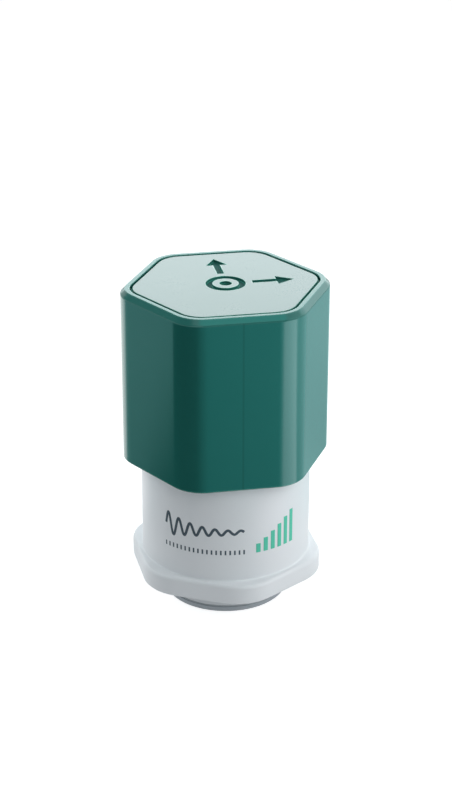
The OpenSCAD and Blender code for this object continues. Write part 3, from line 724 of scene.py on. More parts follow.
def moulded(name, colour, highlight, roughness=0.3, grain=0.35, depth=0.004, uneven=0.06, dust=0.05,
            highlight_width=0.4, highlight_strength=0.5, specular=0.5, tint=(1, 1, 1, 1), coat=0.0, coat_roughness=0.2,
            dust_colour=(200, 200, 195), seam=0.0, sunk=False):
    """A moulded plastic: grain, a painted edge highlight, a trace of dust and maybe a parting line."""
    w, shader = new_material(name)
    skin = use_group(w, GRAIN, {
        "Color": rgb(*colour), "Unevenness": uneven, "Roughness": roughness, "Grain Size": grain
    })
    # A painted highlight along the edges, in the paler highlight colour
    edge = use_group(w, EDGE_HIGHLIGHT, {"Width": highlight_width, "Strength": highlight_strength})["Mask"]
    film = use_group(w, DUST, {"Amount": dust})["Mask"]
    highlighted = w.blend(edge, skin["Color"], rgb(*highlight))
    coloured = w.blend(film, highlighted, rgb(*dust_colour))
    height = skin["Height"]
    if seam:
        line = use_group(w, SEAM, {"Width": SEAM_W, "Strength": seam})["Mask"]
        coloured = w.dimmed(coloured, w.sum("SUBTRACT", 1.0, line))
        height = w.sum("MULTIPLY_ADD", line, -SEAM_DEPTH, height)
    gloss = w.sum("MULTIPLY_ADD", film, DUST_ROUGHNESS, skin["Roughness"])
    if sunk:
        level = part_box("lid_plate")[1].z - SUNK_DEPTH * MM
        matt = use_group(w, SUNK, {"Level": level, "Softness": SUNK_SOFT * MM})["Mask"]
        gloss = w.sum("MULTIPLY_ADD", matt, SUNK_ROUGHNESS, gloss)
        coat = w.spread(matt, 0.0, 1.0, coat, 0.0)
    bumped(w, shader, height, 0.35, depth)
    w.feed(shader, {
        "Base Color": coloured, "Roughness": gloss, "Specular IOR Level": specular,
        "Specular Tint": tint, "Coat Weight": coat, "Coat Roughness": coat_roughness
    })


def machined(name, colour, roughness=0.28, pitch=0.12, depth=0.002, metallic=1.0):
    """A turned or plated metal with fine tool lines."""
    w, shader = new_material(name)
    skin = use_group(w, GRAIN, {
        "Color": rgb(*colour), "Unevenness": 0.16, "Roughness": roughness, "Gloss Spread": 0.14,
        "Grain Size": 0.2
    })
    lines = use_group(w, LINES, {"Pitch": pitch})
    # A painted highlight along the edges, in pale steel
    edge = use_group(w, EDGE_HIGHLIGHT, {"Width": 0.25, "Strength": 0.5})["Mask"]
    bright = w.blend(edge, skin["Color"], rgb(225, 227, 228))
    w.feed(shader, {"Base Color": bright, "Roughness": skin["Roughness"], "Metallic": metallic})
    bumped(w, shader, lines["Height"], 0.3, depth)


def board_green(name):
    """Solder mask over copper: tracks show as slightly paler lines, plated rings as bright dots."""
    w, shader = new_material(name)
    place = w.place()
    tracks = w.node("ShaderNodeTexBrick", {
        "Vector": place, "Scale": 260.0, "Mortar Size": 0.012, "Mortar Smooth": 0.1,
        "Brick Width": 1.4, "Row Height": 0.35
    }, offset=0.37, squash=1.6, squash_frequency=3).outputs["Fac"]
    cells = w.node("ShaderNodeTexVoronoi", {"Vector": place, "Scale": 330.0})
    ring = w.spread(cells.outputs["Distance"], 0.16, 0.12)
    skin = use_group(w, GRAIN, {
        "Color": rgb(18, 92, 58), "Unevenness": 0.2, "Roughness": 0.32, "Grain Size": 0.3
    })
    copper = w.blend(tracks, skin["Color"], rgb(38, 124, 82))
    plated = w.blend(ring, copper, rgb(196, 186, 140))
    w.feed(shader, {"Base Color": plated, "Roughness": skin["Roughness"]})
    raised_tracks = w.sum("ADD", tracks, w.sum("MULTIPLY", skin["Height"], 0.2))
    bumped(w, shader, raised_tracks, 0.4, 0.02)


# Every finish: its screen colour, the colour of its painted edge highlight, and what else it has of its
# own
moulded("teal_cap", TEAL, (146, 228, 210), roughness=0.16, depth=0.003, uneven=0.05, dust=0.01,
        highlight_width=0.6, highlight_strength=0.8, specular=0.8, tint=(0.55, 1, 0.95, 1), seam=0.2)
moulded("teal_lid", TEAL, (90, 208, 180), roughness=0.28, depth=0.003, uneven=0.05, dust=0.0,
        highlight_width=0.55, highlight_strength=0.8, coat=0.5, coat_roughness=0.28, sunk=True)
moulded("white_housing", (226, 230, 233), (240, 243, 245), roughness=0.42, depth=0.005,
        uneven=0.03, dust=0.04, highlight_strength=0.4, specular=0.4, dust_colour=(170, 170, 166))
machined("base_steel", (164, 171, 177), roughness=0.5, metallic=0.3)
machined("plated_steel", (198, 200, 198), roughness=0.24, pitch=0.06)
moulded("slate_ink", (72, 86, 96), (110, 122, 130), roughness=0.5, grain=0.2, uneven=0.1,
        dust=0.0, highlight_strength=0.0, specular=0.3)
moulded("mint_ink", (84, 196, 168), (140, 220, 200), roughness=0.5, grain=0.2, uneven=0.08,
        dust=0.0, highlight_strength=0.0, specular=0.3)
moulded("rubber", (176, 183, 187), (196, 201, 204), roughness=0.62, grain=0.2, depth=0.01,
        uneven=0.2, dust=0.1, highlight_strength=0.3)
moulded("adhesive", (38, 39, 42), (60, 60, 62), roughness=0.7, grain=0.15, depth=0.02, uneven=0.2)
board_green("circuit_board")
moulded("chip_epoxy", (28, 29, 31), (60, 61, 63), roughness=0.55, grain=0.12, depth=0.008,
        uneven=0.15, highlight_strength=0.3)
moulded("connector_nylon", (224, 220, 206), (240, 238, 228), roughness=0.45, grain=0.2)
moulded("carrier_nylon", (74, 79, 84), (128, 134, 140), roughness=0.5, grain=0.25, depth=0.008,
        uneven=0.14)
moulded("cable_film", (196, 122, 38), (222, 160, 84), roughness=0.25, grain=0.8, uneven=0.1)
moulded("cell_wrap", (44, 82, 140), (92, 126, 176), roughness=0.26, grain=0.5, coat=0.4)
machined("contact_brass", (206, 174, 104), roughness=0.26, pitch=0.2)
moulded("foam", (58, 59, 62), (92, 93, 96), roughness=0.9, grain=0.3, depth=0.12, uneven=0.4)
machined("shield_tin", (204, 206, 208), roughness=0.32, pitch=0.3)
moulded("capacitor_body", (202, 150, 56), (226, 186, 110), roughness=0.4, grain=0.15, uneven=0.1)
moulded("tube_glass", (176, 206, 190), (214, 232, 222), roughness=0.08, grain=0.9, uneven=0.05,
        dust=0.0, coat=0.6)
moulded("led_lens", (232, 226, 170), (246, 242, 210), roughness=0.2, grain=0.3)


def cap_shell():
    """The moulded cap: bore, seat and mouth inside, a rounded hexagon outside, a recess on top."""
    low, high, apothem = extent("cap")
    rim = apothem - CAP_CHAMFER
    recess = rim - CAP_RIM
    recess_z = extent("lid_tape")[0]
    inner = rounded(
        [(BORE_R * POLE, ROOF_Z, 0), (BORE_R, ROOF_Z, 0), (BORE_R, SEAT_Z, 0), (MOUTH_R, SEAT_Z, 0),
         (MOUTH_R, low, 0), (MOUTH_R + CORE_RING / 2, low, 0)],
        (CAP_ROOF_R, EASED_R, CRISP_R, CAP_EDGE_R / 2),
    )
    corner = CAP_CORNER_R
    foot = CAP_LOW_CHAMFER
    outer = rounded(
        [(apothem - foot - CAP_LOW_FLAT, low, corner - foot - CAP_LOW_FLAT),
         (apothem - foot, low, corner - foot),
         (apothem, low + foot, corner),
         (apothem, high - CAP_CHAMFER, corner),
         (rim, high, corner - CAP_CHAMFER),
         (recess, high, RECESS_CORNER_R),
         (recess, recess_z, RECESS_CORNER_R),
         (recess * POLE, recess_z, RECESS_CORNER_R * POLE)],
        (LOW_R, LOW_R, CAP_SHOULDER_R, CAP_EDGE_R, RECESS_EDGE_R, CRISP_R),
    )
    piece = new_piece("cap_shell", loft(circle_rings(inner) + hexagon_rings(outer)))
    cut(piece, corner_cores(low) + bayonet_slots())
    smooth(piece)
    finish_piece(piece, "teal_cap", "cap")


def corner_cores(low):
    """The six pockets that the mould leaves between the mouth's ring and the hexagon's corners."""
    ring = MOUTH_R + CORE_RING
    corner_r = CAP_CORNER_R - CAP_WALL
    reach = (MOUTH_R - corner_r) / math.cos(math.radians(HEX_TURN / 2))
    span = HEX_TURN / 2 - math.degrees(math.acos(MOUTH_R / ring))
    pockets = []
    for side in range(6):
        middle = HEX_TURN * side
        centre = np.array(at_angle(reach, middle))
        outside = [centre + at_angle(corner_r, middle + turn)
                   for turn in np.linspace(-HEX_TURN / 2, HEX_TURN / 2, CORE_STEPS)]
        inside = [at_angle(ring, middle + turn) for turn in np.linspace(span, -span, CORE_STEPS)]
        pockets.append(prism(outside + inside, low - PAST, CORE_TOP))
    return pockets


def bayonet_slots():
    """For each lug an entry up from the seat, and a run from there to the locked place."""
    slots = []
    for angle in BOSS_ANGLES:
        start = angle - LUG_ANGLE / 2 - SLOT_SLACK
        run = LUG_ANGLE + LOCK_TURN + 2 * SLOT_SLACK
        slots.append(arc_wedge(BORE_R - INTO, SLOT_R, SLOT_LOW, SLOT_HIGH, start, run, RUN_STEPS))
        entry = LUG_ANGLE + 3 * SLOT_SLACK
        slots.append(arc_wedge(BORE_R - INTO, SLOT_R + ENTRY_OUT, SEAT_Z - INTO,
                               SLOT_LOW + ENTRY_OVER, start + LOCK_TURN, entry))
    return slots


def lid_panel():
    """The lid plate with its rebated edge and the engraved mark of the sensing axes."""
    low, high, apothem = extent("lid_plate")
    inner, corner = apothem - REBATE_W, PLATE_CORNER_R - REBATE_W
    path = rounded(
        [(apothem * POLE, low, PLATE_CORNER_R * POLE), (apothem, low, PLATE_CORNER_R),
         (apothem, high - REBATE_D, PLATE_CORNER_R), (inner, high - REBATE_D, corner),
         (inner, high, corner), (inner * POLE, high, corner * POLE)],
        (CRISP_R, CRISP_R, REBATE_R, PLATE_EDGE_R),
    )
    piece = new_piece("lid_panel", loft(hexagon_rings(path)))
    floor = high - MARK_DEPTH
    cut(piece, [rod(MARK_RING_R, floor, high + PAST, count=ROUND_STEPS)])
    island = rod(MARK_RING_R - MARK_LINE, floor - ISLAND_ROOT, high, count=ROUND_STEPS)
    cut(piece, [island], "UNION")
    marks = [rod(MARK_DOT_R, floor, high + PAST)]
    for angle in (0, 90):
        outline = arrow(MARK_RING_R + MARK_LINE, MARK_REACH, angle)
        marks.append(prism(outline, floor, high + PAST))
    cut(piece, marks)
    soften_mark(piece, high)
    smooth(piece)
    finish_piece(piece, "teal_lid", "lid_plate")


def arrow(start, tip, angle):
    """Plan points of an arrow that points away from the axis."""
    neck = tip - MARK_HEAD_L
    line, head = MARK_LINE / 2, MARK_HEAD_W / 2
    points = np.array([
        (start, -line), (neck, -line), (neck, -head), (tip, 0), (neck, head), (neck, line),
        (start, line)
    ])
    turn = math.radians(angle)
    spin = np.array([(math.cos(turn), math.sin(turn)), (-math.sin(turn), math.cos(turn))])
    return points @ spin


def soften_mark(piece, top):
    """Breaks the upper edges of the engraving, as a cutter or a polished mould does."""
    body = bmesh.new()
    body.from_mesh(piece.data)
    bmesh.ops.remove_doubles(body, verts=body.verts, dist=MERGED)
    level = top * MM
    reach = (MARK_REACH + PAST) * MM
    edges = []
    for edge in body.edges:
        flat = all(abs(v.co.z - level) < LEVEL_SLACK and v.co.xy.length < reach for v in edge.verts)
        steep = len(edge.link_faces) == 2 and edge.calc_face_angle() > MARK_STEEP
        if flat and steep:
            edges.append(edge)
    bmesh.ops.bevel(body, geom=edges, offset=MARK_EDGE * MM, segments=3, profile=0.5,
                    affect="EDGES", clamp_overlap=True)
    body.to_mesh(piece.data)
    body.free()


def housing_shell():
    """The moulded housing: foot, hexagonal collar flowing into the round wall, neck and cavity."""
    low, top, _ = extent("housing")
    foot = rounded(
        [(SPIGOT_HOLE_R * POLE, low, 0), (FOOT_R - FOOT_CHAMFER, low, 0),
         (FOOT_R, low + FOOT_CHAMFER, 0), (FOOT_R, COLLAR_LOW, 0),
         (FOOT_R + COLLAR_FLAT, COLLAR_LOW, 0)],
        (LOW_R, LOW_R, SOFT_R),
    )
    under = COLLAR_LOW_CHAMFER
    inward = COLLAR_EDGE_R + CRISP_R
    collar = rounded(
        [(COLLAR_APOTHEM - under - COLLAR_FLAT, COLLAR_LOW, COLLAR_CORNER_R - under - COLLAR_FLAT),
         (COLLAR_APOTHEM - under, COLLAR_LOW, COLLAR_CORNER_R - under),
         (COLLAR_APOTHEM, COLLAR_LOW + under, COLLAR_CORNER_R),
         (COLLAR_APOTHEM, COLLAR_TOP, COLLAR_CORNER_R),
         (COLLAR_APOTHEM - inward, COLLAR_TOP, COLLAR_CORNER_R - inward)],
        (SOFT_R, COLLAR_LOW_R, COLLAR_EDGE_R),
    )
    wall = rounded(
        [(BODY_R + COLLAR_FILLET + FILLET_FLAT, COLLAR_TOP, 0), (BODY_R, COLLAR_TOP, 0),
         (BODY_R, SHOULDER_Z, 0), (NECK_R, SHOULDER_Z, 0), (NECK_R, top - NECK_CHAMFER, 0),
         (NECK_R - NECK_CHAMFER, top, 0), (CAVITY_R, top, 0), (CAVITY_R, FLOOR_Z, 0),
         (CAVITY_R * POLE, FLOOR_Z, 0)],
        (COLLAR_FILLET, EASED_R, EASED_R, CRISP_R, CRISP_R, EASED_R, CAVITY_FLOOR_R),
    )
    rings = (circle_rings(foot, COLLAR_TURN) + hexagon_rings(collar, COLLAR_TURN)
             + circle_rings(wall, COLLAR_TURN))
    piece = new_piece("housing_shell", loft(rings))
    lugs = [arc_wedge(NECK_R - INTO, NECK_R + LUG_OUT, LUG_LOW, LUG_HIGH, a - LUG_ANGLE / 2,
                      LUG_ANGLE) for a in BOSS_ANGLES]
    seats = [at_angle(BOSS_PITCH, a) for a in BOSS_ANGLES]
    cut(piece, lugs + [rod(BOSS_R, FLOOR_Z - INTO, BOSS_TOP, seat) for seat in seats], "UNION")
    holes = [rod(SCREW_HOLE_R, BOSS_HOLE_LOW, BOSS_TOP + PAST, seat, HOLE_STEPS) for seat in seats]
    keyed = flatted_round(SPIGOT_HOLE_R, SPIGOT_HOLE_FLAT)
    cut(piece, holes + [prism(keyed, low - PAST, FLOOR_Z + PAST)])
    smooth(piece)
    finish_piece(piece, "white_housing", "housing")


def flatted_round(radius, flat, count=KEYED_STEPS):
    """Plan points of a round with two flats that face +Y and -Y."""
    points = circle(radius, count=count)
    return np.column_stack((points[:, 0], np.clip(points[:, 1], -flat, flat)))


def steel_base():
    """The turned base: flange, keyed spigot and threaded end, with the stud hole from below."""
    flange = rounded(
        [(STUD_R * POLE, 0, 0), (FOOT_R - FLANGE_CHAMFER, 0, 0), (FOOT_R, FLANGE_CHAMFER, 0),
         (FOOT_R, FLANGE_T, 0), (SPIGOT_R * POLE, FLANGE_T, 0)],
        (CRISP_R, CRISP_R, LOW_R),
    )
    piece = new_piece("steel_base", loft(circle_rings(flange)))
    keyed = flatted_round(SPIGOT_R, SPIGOT_FLAT, 2 * KEYED_STEPS)
    end = threaded(SPIGOT_END_R - END_THREAD, END_THREAD, END_PITCH, SPIGOT_TOP - INTO, END_TOP)
    cut(piece, [prism(keyed, FLANGE_T - INTO, SPIGOT_TOP), loft(end)], "UNION")
    point = [(STUD_R, STUD_DEPTH + DRILL_STEP), (DRILL_STEP, STUD_DEPTH + DRILL_POINT)]
    bore = threaded(STUD_R, STUD_THREAD, STUD_PITCH, -PAST, STUD_DEPTH)
    mouth = [(STUD_R + MOUTH_OUT, -INTO), (STUD_R - MOUTH_IN, MOUTH_DEPTH)]
    holes = [loft(bore + circle_rings(point, count=ROUND_STEPS)),
             loft(circle_rings(mouth, count=ROUND_STEPS))]
    for angle in BASE_SCREW_ANGLES:
        holes.append(rod(SCREW_HOLE_R, BASE_SCREW_LOW, END_TOP + PAST,
                         at_angle(BASE_HOLE_PITCH, angle), HOLE_STEPS))
    holes.append(rod(PROBE_R, PROBE_LOW, END_TOP + PAST, at_angle(BASE_HOLE_PITCH, PROBE_ANGLE),
                     HOLE_STEPS))
    cut(piece, holes)
    smooth(piece)
    finish_piece(piece, "base_steel", "mounting_base")


def grown(name, tree, values):
    """A scene object that holds what a geometry tree makes from these inputs, as a plain mesh."""
    piece = put(name, bpy.data.meshes.new(name))
    change = piece.modifiers.new(name, "NODES")
    change.node_group = tree
    for item in tree.interface.items_tree:
        if item.in_out == "INPUT" and item.name in values:
            change[item.identifier] = values[item.name]
    settle(piece)
    return piece


def new_geometry(name, inputs):
    """The wires of a geometry tree that is given sizes and a material, and puts out a shape."""
    given = inputs | {"Material": FINISH}
    return new_group(name, given, {"Geometry": SHAPE}, "GeometryNodeTree")


def end_tree(w, shape):
    """Closes a geometry tree: everything real, then its material."""
    real = w.node("GeometryNodeRealizeInstances", {"Geometry": shape})
    dressed = w.node("GeometryNodeSetMaterial", {
        "Geometry": real.outputs["Geometry"], "Material": w.given["Material"]
    })
    return w.end({"Geometry": dressed.outputs["Geometry"]})


def make_wall_wrap():
    """Bends flat geometry round a wall: X is the way along it, Y the height and Z the way out."""
    w = new_group("wall_wrap", {"Geometry": SHAPE, "Radius": 0.02}, {"Geometry": SHAPE},
                  "GeometryNodeTree")
    axes = w.split(w.node("GeometryNodeInputPosition").outputs[0])
    turn = w.sum("DIVIDE", axes["X"], w.given["Radius"])
    reach = w.sum("ADD", axes["Z"], w.given["Radius"])
    aside = w.sum("MULTIPLY", w.sum("SINE", turn), reach)
    ahead = w.sum("MULTIPLY", w.sum("COSINE", turn), w.sum("MULTIPLY", reach, -1.0))
    bent = w.moved(w.given["Geometry"], w.point(aside, ahead, axes["Y"]))
    return w.end({"Geometry": bent})


def inked(w, lines, wrap):
    """Lines drawn flat, as low round strokes of ink wrapped on the wall."""
    half = w.sum("MULTIPLY", w.given["Line"], 0.5)
    tip = w.node("GeometryNodeCurvePrimitiveCircle", {"Resolution": TIP_SIDES, "Radius": half})
    stroke = w.node("GeometryNodeCurveToMesh", {
        "Curve": lines, "Profile Curve": tip.outputs["Curve"], "Fill Caps": True
    })
    rise = w.sum("DIVIDE", w.given["Rise"], half)
    place = w.node("GeometryNodeInputPosition").outputs[0]
    low = w.moved(stroke.outputs["Mesh"], w.vector("MULTIPLY", place, w.point(1, 1, rise)))
    bent = w.node("GeometryNodeGroup", {"Geometry": low, "Radius": w.given["Radius"]},
                  node_tree=wrap)
    return bent.outputs["Geometry"]


INK_INPUTS = {"Radius": 0.02, "Start": 0.0, "Height": 0.0, "Line": 0.001, "Rise": 0.00003}


def make_fading_trace(wrap):
    """A printed wave that fades along the wall, as a struck machine rings out."""
    w = new_geometry("fading_trace", INK_INPUTS | {
        "Length": 0.02, "Amplitude": 0.003, "Waves": 6.0, "Decay": 2.0, "Points": 220
    })
    line = w.node("GeometryNodeCurvePrimitiveLine")
    fine = w.node("GeometryNodeResampleCurve", {
        "Curve": line.outputs["Curve"], "Count": w.given["Points"]
    })
    share = w.node("GeometryNodeSplineParameter").outputs["Factor"]
    along = w.sum("MULTIPLY_ADD", share, w.given["Length"], w.given["Start"])
    decay = w.sum("MULTIPLY", w.given["Decay"], -1.0)
    fade = w.sum("EXPONENT", w.sum("MULTIPLY", share, decay))
    phase = w.sum("MULTIPLY", share, w.sum("MULTIPLY", w.given["Waves"], 2 * math.pi))
    height = w.sum("MULTIPLY", fade, w.given["Amplitude"])
    swing = w.sum("MULTIPLY", w.sum("SINE", phase), height)
    wave = w.point(along, w.sum("ADD", swing, w.given["Height"]), 0)
    return end_tree(w, inked(w, w.moved(fine.outputs["Curve"], wave), wrap))


def make_upright_bars(wrap):
    """A printed row of upright bars whose height changes evenly from the first to the last."""
    w = new_geometry("upright_bars", INK_INPUTS | {
        "Count": 6, "Pitch": 0.002, "First": 0.002, "Last": 0.002
    })
    feet = w.node("GeometryNodeMeshLine", {
        "Count": w.given["Count"], "Start Location": w.point(w.given["Start"], w.given["Height"], 0),
        "Offset": w.point(w.given["Pitch"], 0, 0)
    })
    bar = w.node("GeometryNodeCurvePrimitiveLine", {"End": (0, 1, 0)})
    last = w.sum("SUBTRACT", w.given["Count"], 1.0)
    share = w.sum("DIVIDE", w.node("GeometryNodeInputIndex").outputs[0], last)
    gain = w.sum("SUBTRACT", w.given["Last"], w.given["First"])
    tall = w.sum("MULTIPLY_ADD", share, gain, w.given["First"])
    row = w.copies(feet.outputs["Mesh"], bar.outputs["Curve"], Scale=w.point(1, tall, 1))
    real = w.node("GeometryNodeRealizeInstances", {"Geometry": row})
    return end_tree(w, inked(w, real.outputs["Geometry"], wrap))


def wall_print():
    """The generic print on the wall: a fading trace, its scale and a row of level bars."""
    wrap = make_wall_wrap()
    trace, bars = make_fading_trace(wrap), make_upright_bars(wrap)
    per_degree = math.radians(1) * BODY_R
    length = (TRACE_TO - TRACE_FROM) * per_degree
    start = TRACE_FROM * per_degree
    prints = (
        ("trace_print", trace, "slate_ink", {"Waves": TRACE_WAVES, "Decay": TRACE_DECAY}, {
            "Start": start, "Height": TRACE_HEIGHT, "Line": TRACE_LINE, "Length": length,
            "Amplitude": TRACE_AMPLITUDE
        }),
        ("scale_print", bars, "slate_ink", {"Count": SCALE_COUNT}, {
            "Start": start, "Height": SCALE_HEIGHT, "Line": SCALE_LINE,
            "Pitch": length / (SCALE_COUNT - 1), "First": SCALE_TICK, "Last": SCALE_TICK
        }),
        ("level_print", bars, "mint_ink", {"Count": LEVEL_COUNT}, {
            "Start": LEVEL_FROM * per_degree, "Height": SCALE_HEIGHT, "Line": LEVEL_LINE,
            "Pitch": LEVEL_PITCH, "First": LEVEL_LOW, "Last": LEVEL_HIGH
        }),
    )
    for name, tree, ink, plain, sizes in prints:
        lengths = {key: size * MM for key, size in sizes.items()}
        common = {"Radius": BODY_R * MM, "Rise": INK_RISE * MM, "Material": MATERIALS[ink]}
        piece = grown(name, tree, plain | lengths | common)
        piece.data.shade_smooth()
        finish_piece(piece, ink)


def make_ring_of():
    """Copies of one thing round the axis, from a first angle, each turned with its place."""
    w = new_geometry("ring_of", {
        "Thing": THING, "Count": 3, "Reach": 0.01, "First Angle": 0.0, "Step": 2.094, "Height": 0.0
    })
    seats = w.node("GeometryNodeMeshLine", {"Count": w.given["Count"]})
    index = w.node("GeometryNodeInputIndex").outputs[0]
    turn = w.sum("MULTIPLY_ADD", index, w.given["Step"], w.given["First Angle"])
    aside = w.sum("MULTIPLY", w.sum("COSINE", turn), w.given["Reach"])
    ahead = w.sum("MULTIPLY", w.sum("SINE", turn), w.given["Reach"])
    spots = w.moved(seats.outputs["Mesh"], w.point(aside, ahead, w.given["Height"]))
    thing = w.node("GeometryNodeObjectInfo", {"Object": w.given["Thing"]})
    return end_tree(w, w.copies(spots, thing.outputs["Geometry"], Rotation=w.point(0, 0, turn)))


def socket_screw(length):
    """One small screw with its head's underside at height 0: round head, socket, threaded shank."""
    head = rounded(
        [(SCREW_R / 2, -HEAD_ROOT, 0), (SCREW_HEAD_R, -HEAD_DISH, 0),
         (SCREW_HEAD_R, SCREW_HEAD_H, 0), (SCREW_HEAD_R * POLE, SCREW_HEAD_H, 0)],
        (HEAD_LOW_R, SCREW_HEAD_ROUND),
    )
    screw = new_piece("screw_pattern", loft(circle_rings(head, count=SCREW_STEPS)))
    shank = threaded(SCREW_R - SCREW_THREAD, SCREW_THREAD, SCREW_PITCH, -length, HEAD_INTO,
                     SCREW_STEPS)
    cut(screw, [loft(shank)], "UNION")
    cut(screw, [rod(SOCKET_R, SCREW_HEAD_H - SOCKET_DEPTH, SCREW_HEAD_H + PAST, count=6)])
    smooth(screw, SCREW_SHARP_ANGLE)
    return screw


def socket_screws():
    """The four sets of small screws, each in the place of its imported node."""
    tree = make_ring_of()
    for node, first, step in SCREW_SETS:
        low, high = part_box(node)
        seat = high.z / MM - SCREW_HEAD_H
        screw = socket_screw(seat - low.z / MM)
        outward = high.y if first == 90 else high.x
        piece = grown(node + "_turned", tree, {
            "Thing": screw, "Count": SCREW_COUNT, "Reach": outward - SCREW_HEAD_R * MM,
            "First Angle": math.radians(first), "Step": math.radians(step), "Height": seat * MM,
            "Material": MATERIALS["plated_steel"]
        })
        discard(screw)
        finish_piece(piece, "plated_steel", node)


def make_pads_round():
    """Solder pads along the edges of a rectangle, each turned along its edge."""
    w = new_geometry("pads_round", {
        "Length": 0.005, "Width": 0.005, "Pitch": 0.0008, "Pad": (0.0003, 0.0009, 0.0001),
        "Centre": (0.0, 0.0, 0.0)
    })
    edge = w.node("GeometryNodeCurvePrimitiveQuadrilateral", {
        "Width": w.given["Length"], "Height": w.given["Width"]
    })
    spots = w.node("GeometryNodeCurveToPoints", {
        "Curve": edge.outputs["Curve"], "Length": w.given["Pitch"]
    }, mode="LENGTH")
    pad = w.node("GeometryNodeMeshCube", {"Size": w.given["Pad"]})
    turned = w.node("FunctionNodeAlignRotationToVector", {"Vector": spots.outputs["Tangent"]},
                    axis="X")
    row = w.copies(spots.outputs["Points"], pad.outputs["Mesh"],
                   Rotation=turned.outputs["Rotation"])
    placed = w.node("GeometryNodeTransform", {"Geometry": row, "Translation": w.given["Centre"]})
    return end_tree(w, placed.outputs["Geometry"])


def solder_pads():
    """Rows of tinned pads under the edges of the chips and the screened radio."""
    tree = make_pads_round()
    for node, pitch in PAD_SETS:
        low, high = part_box(node)
        size = high - low
        middle = (low + high) / 2
        inset = (PAD_L / 2 - PAD_OUT) * 2 * MM
        piece = grown(node + "_pads", tree, {
            "Length": size.x - inset, "Width": size.y - inset, "Pitch": pitch * MM,
            "Pad": (PAD_W * MM, PAD_L * MM, PAD_H * MM),
            "Centre": (middle.x, middle.y, low.z + PAD_H / 2 * MM),
            "Material": MATERIALS["shield_tin"]
        })
        finish_piece(piece, "shield_tin")


def dress_nodes():
    """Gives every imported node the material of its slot."""
    for name, node in frame["nodes"].items():
        node.data.materials.clear()
        node.data.materials.append(MATERIALS[NODE_SLOTS[name]])


def emptied(owner):
    """The wires of a material or world, with its first nodes taken out."""
    owner.use_nodes = True
    owner.node_tree.nodes.clear()
    return Wires(owner.node_tree)


def stage_sheet(name, points, faces, unseen_by=()):
    """A flat thing of the studio and the wires of its material, unseen by some kinds of ray."""
    mesh = bpy.data.meshes.new(name)
    mesh.from_pydata(points, [], faces)
    sheet = put(name, mesh)
    for ray in unseen_by:
        setattr(sheet, "visible_" + ray, False)
    mesh.materials.append(bpy.data.materials.new(name))
    return emptied(mesh.materials[0])


def glowing(w, colour, strength):
    """Ends a card's material: it only gives off light."""
    glow = w.node("ShaderNodeEmission", {"Color": colour, "Strength": strength})
    w.node("ShaderNodeOutputMaterial", {"Surface": glow.outputs[0]})


def studio_floor():
    """A wide pale floor that reads as white to the camera and still takes the soft shadow."""
    reach = FLOOR_REACH
    corners = [(-reach, -reach, 0), (reach, -reach, 0), (reach, reach, 0), (-reach, reach, 0)]
    w = stage_sheet("floor", corners, [(0, 1, 2, 3)])
    rays = w.node("ShaderNodeLightPath").outputs
    mirrored = w.sum("MAXIMUM", rays["Is Glossy Ray"], rays["Is Transmission Ray"])
    seen = w.sum("MULTIPLY_ADD", rays["Is Camera Ray"], FLOOR_SEEN, FLOOR_GLOW)
    paper = w.node("ShaderNodeBsdfDiffuse", {"Color": FLOOR_COLOUR})
    glow = w.node("ShaderNodeEmission", {
        "Color": (1, 1, 1, 1), "Strength": w.sum("MULTIPLY_ADD", mirrored, FLOOR_MIRRORED, seen)
    })
    both = w.node("ShaderNodeAddShader", {0: paper.outputs[0], 1: glow.outputs[0]})
    w.node("ShaderNodeOutputMaterial", {"Surface": both.outputs[0]})


def card_mat():
    """Pale, grey and black cards laid round the sensor, which only its glossy faces pick up."""
    turns = [math.radians(step) for step in range(0, 360, MAT_STEP)]
    count = len(turns)
    points = [(reach * math.sin(turn), -reach * math.cos(turn), MAT_RISE)
              for reach in (MAT_INNER, MAT_REACH) for turn in turns]
    faces = [(i, (i + 1) % count, count + (i + 1) % count, count + i) for i in range(count)]
    w = stage_sheet("card_mat", points, faces, UNSEEN_BY)
    place = w.place()
    front_first = w.node("ShaderNodeMapping", {"Vector": place, "Rotation": (0, 0, math.pi / 2)})
    around = w.node("ShaderNodeTexGradient", {"Vector": front_first.outputs[0]},
                    gradient_type="RADIAL")
    levels = w.node("ShaderNodeValToRGB", {"Fac": around.outputs["Fac"]})
    stops = levels.color_ramp.elements
    brightest = max(level for _, level, _ in MAT_LEVELS)
    for index, (azimuth, level, tint) in enumerate(MAT_LEVELS):
        share = (azimuth + 180) / 360
        stop = stops[index] if index < 2 else stops.new(share)
        stop.position = share
        stop.color = (*[level / brightest * part for part in tint], 1)
    strength = w.spread(w.vector("LENGTH", place), MAT_NEAR, MAT_FAR, brightest,
                        brightest * (1 + MAT_GAIN))
    glowing(w, levels.outputs["Color"], strength)


def hung_card(name, azimuth, elevation, distance, width, height, level, colour):
    """A grey or pale card beside or above the sensor, which only its glossy faces pick up."""
    back = direction(azimuth, elevation)
    across = Vector((0, 0, 1)).cross(back).normalized() * width / 2
    along = back.cross(across).normalized() * height / 2
    middle = Vector((0, 0, CARD_AIM)) + back * distance
    corners = [middle - across - along, middle + across - along, middle + across + along,
               middle - across + along]
    glowing(stage_sheet(name, corners, [(0, 1, 2, 3)], UNSEEN_BY), (*colour, 1), level)


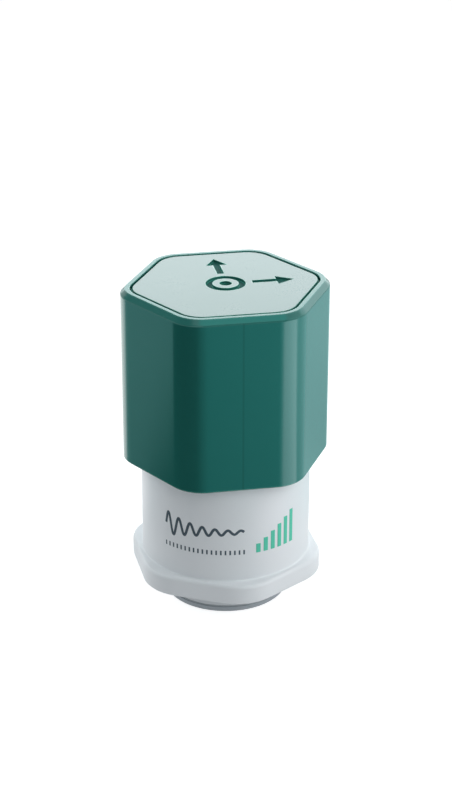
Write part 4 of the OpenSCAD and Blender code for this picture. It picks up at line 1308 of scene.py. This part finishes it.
def studio_air():
    """Soft light from all round, and plain white wherever the camera or a reflection looks past."""
    bpy.context.scene.world = bpy.data.worlds.new("studio")
    w = emptied(bpy.context.scene.world)
    rays = w.node("ShaderNodeLightPath").outputs
    mirrored = w.sum("MAXIMUM", rays["Is Glossy Ray"], rays["Is Transmission Ray"])
    seen = w.sum("MAXIMUM", rays["Is Camera Ray"], mirrored)
    fill = w.node("ShaderNodeBackground", {"Color": FILL_COLOUR, "Strength": FILL_STRENGTH})
    white = w.node("ShaderNodeBackground", {"Color": (1, 1, 1, 1), "Strength": 1.0})
    pick = w.node("ShaderNodeMixShader", {0: seen, 1: fill.outputs[0], 2: white.outputs[0]})
    w.node("ShaderNodeOutputWorld", {"Surface": pick.outputs[0]})


def direction(azimuth, elevation):
    """Unit vector from the sensor towards an azimuth, 0 being -Y and 90 +X, and an elevation."""
    a, e = math.radians(azimuth), math.radians(elevation)
    return Vector((math.sin(a) * math.cos(e), -math.cos(a) * math.cos(e), math.sin(e)))


def stand(thing, middle, azimuth, elevation, distance):
    """Puts a lamp or the camera at a distance from a middle, its back turned away from it."""
    back = direction(azimuth, elevation)
    thing.location = middle + back * distance
    thing.rotation_mode = "QUATERNION"
    thing.rotation_quaternion = back.to_track_quat("Z", "Y")


def softbox(name, azimuth, elevation, distance, width, height, radiance, mirrored, colour):
    """A soft rectangular lamp that faces the sensor and isn't seen by the camera."""
    light = bpy.data.lights.new(name, "AREA")
    light.shape = "RECTANGLE"
    light.size, light.size_y = width, height
    light.color = colour
    light.energy = radiance * math.pi * width * height
    lamp = put(name, light)
    stand(lamp, Vector((0, 0, LAMP_AIM)), azimuth, elevation, distance)
    lamp.visible_camera = False
    lamp.visible_glossy = mirrored


def camera():
    """The photograph's view."""
    data = bpy.data.cameras.new("camera")
    data.lens = LENS
    data.sensor_width = SENSOR
    data.clip_start, data.clip_end = 0.01, 50
    seat = put("camera", data)
    stand(seat, VIEW_TARGET, VIEW_AZIMUTH, VIEW_ELEVATION, VIEW_DISTANCE)
    bpy.context.scene.camera = seat


# The studio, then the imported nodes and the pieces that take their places
bpy.context.scene.view_settings.view_transform = "Standard"
camera()
studio_floor()
card_mat()
studio_air()
for lamp_name, lamp_values in SOFTBOXES.items():
    softbox(lamp_name, *lamp_values)
for card_name, card_values in CARDS.items():
    hung_card(card_name, *card_values)

dress_nodes()
cap_shell()
lid_panel()
housing_shell()
steel_base()
wall_print()
socket_screws()
solder_pads()
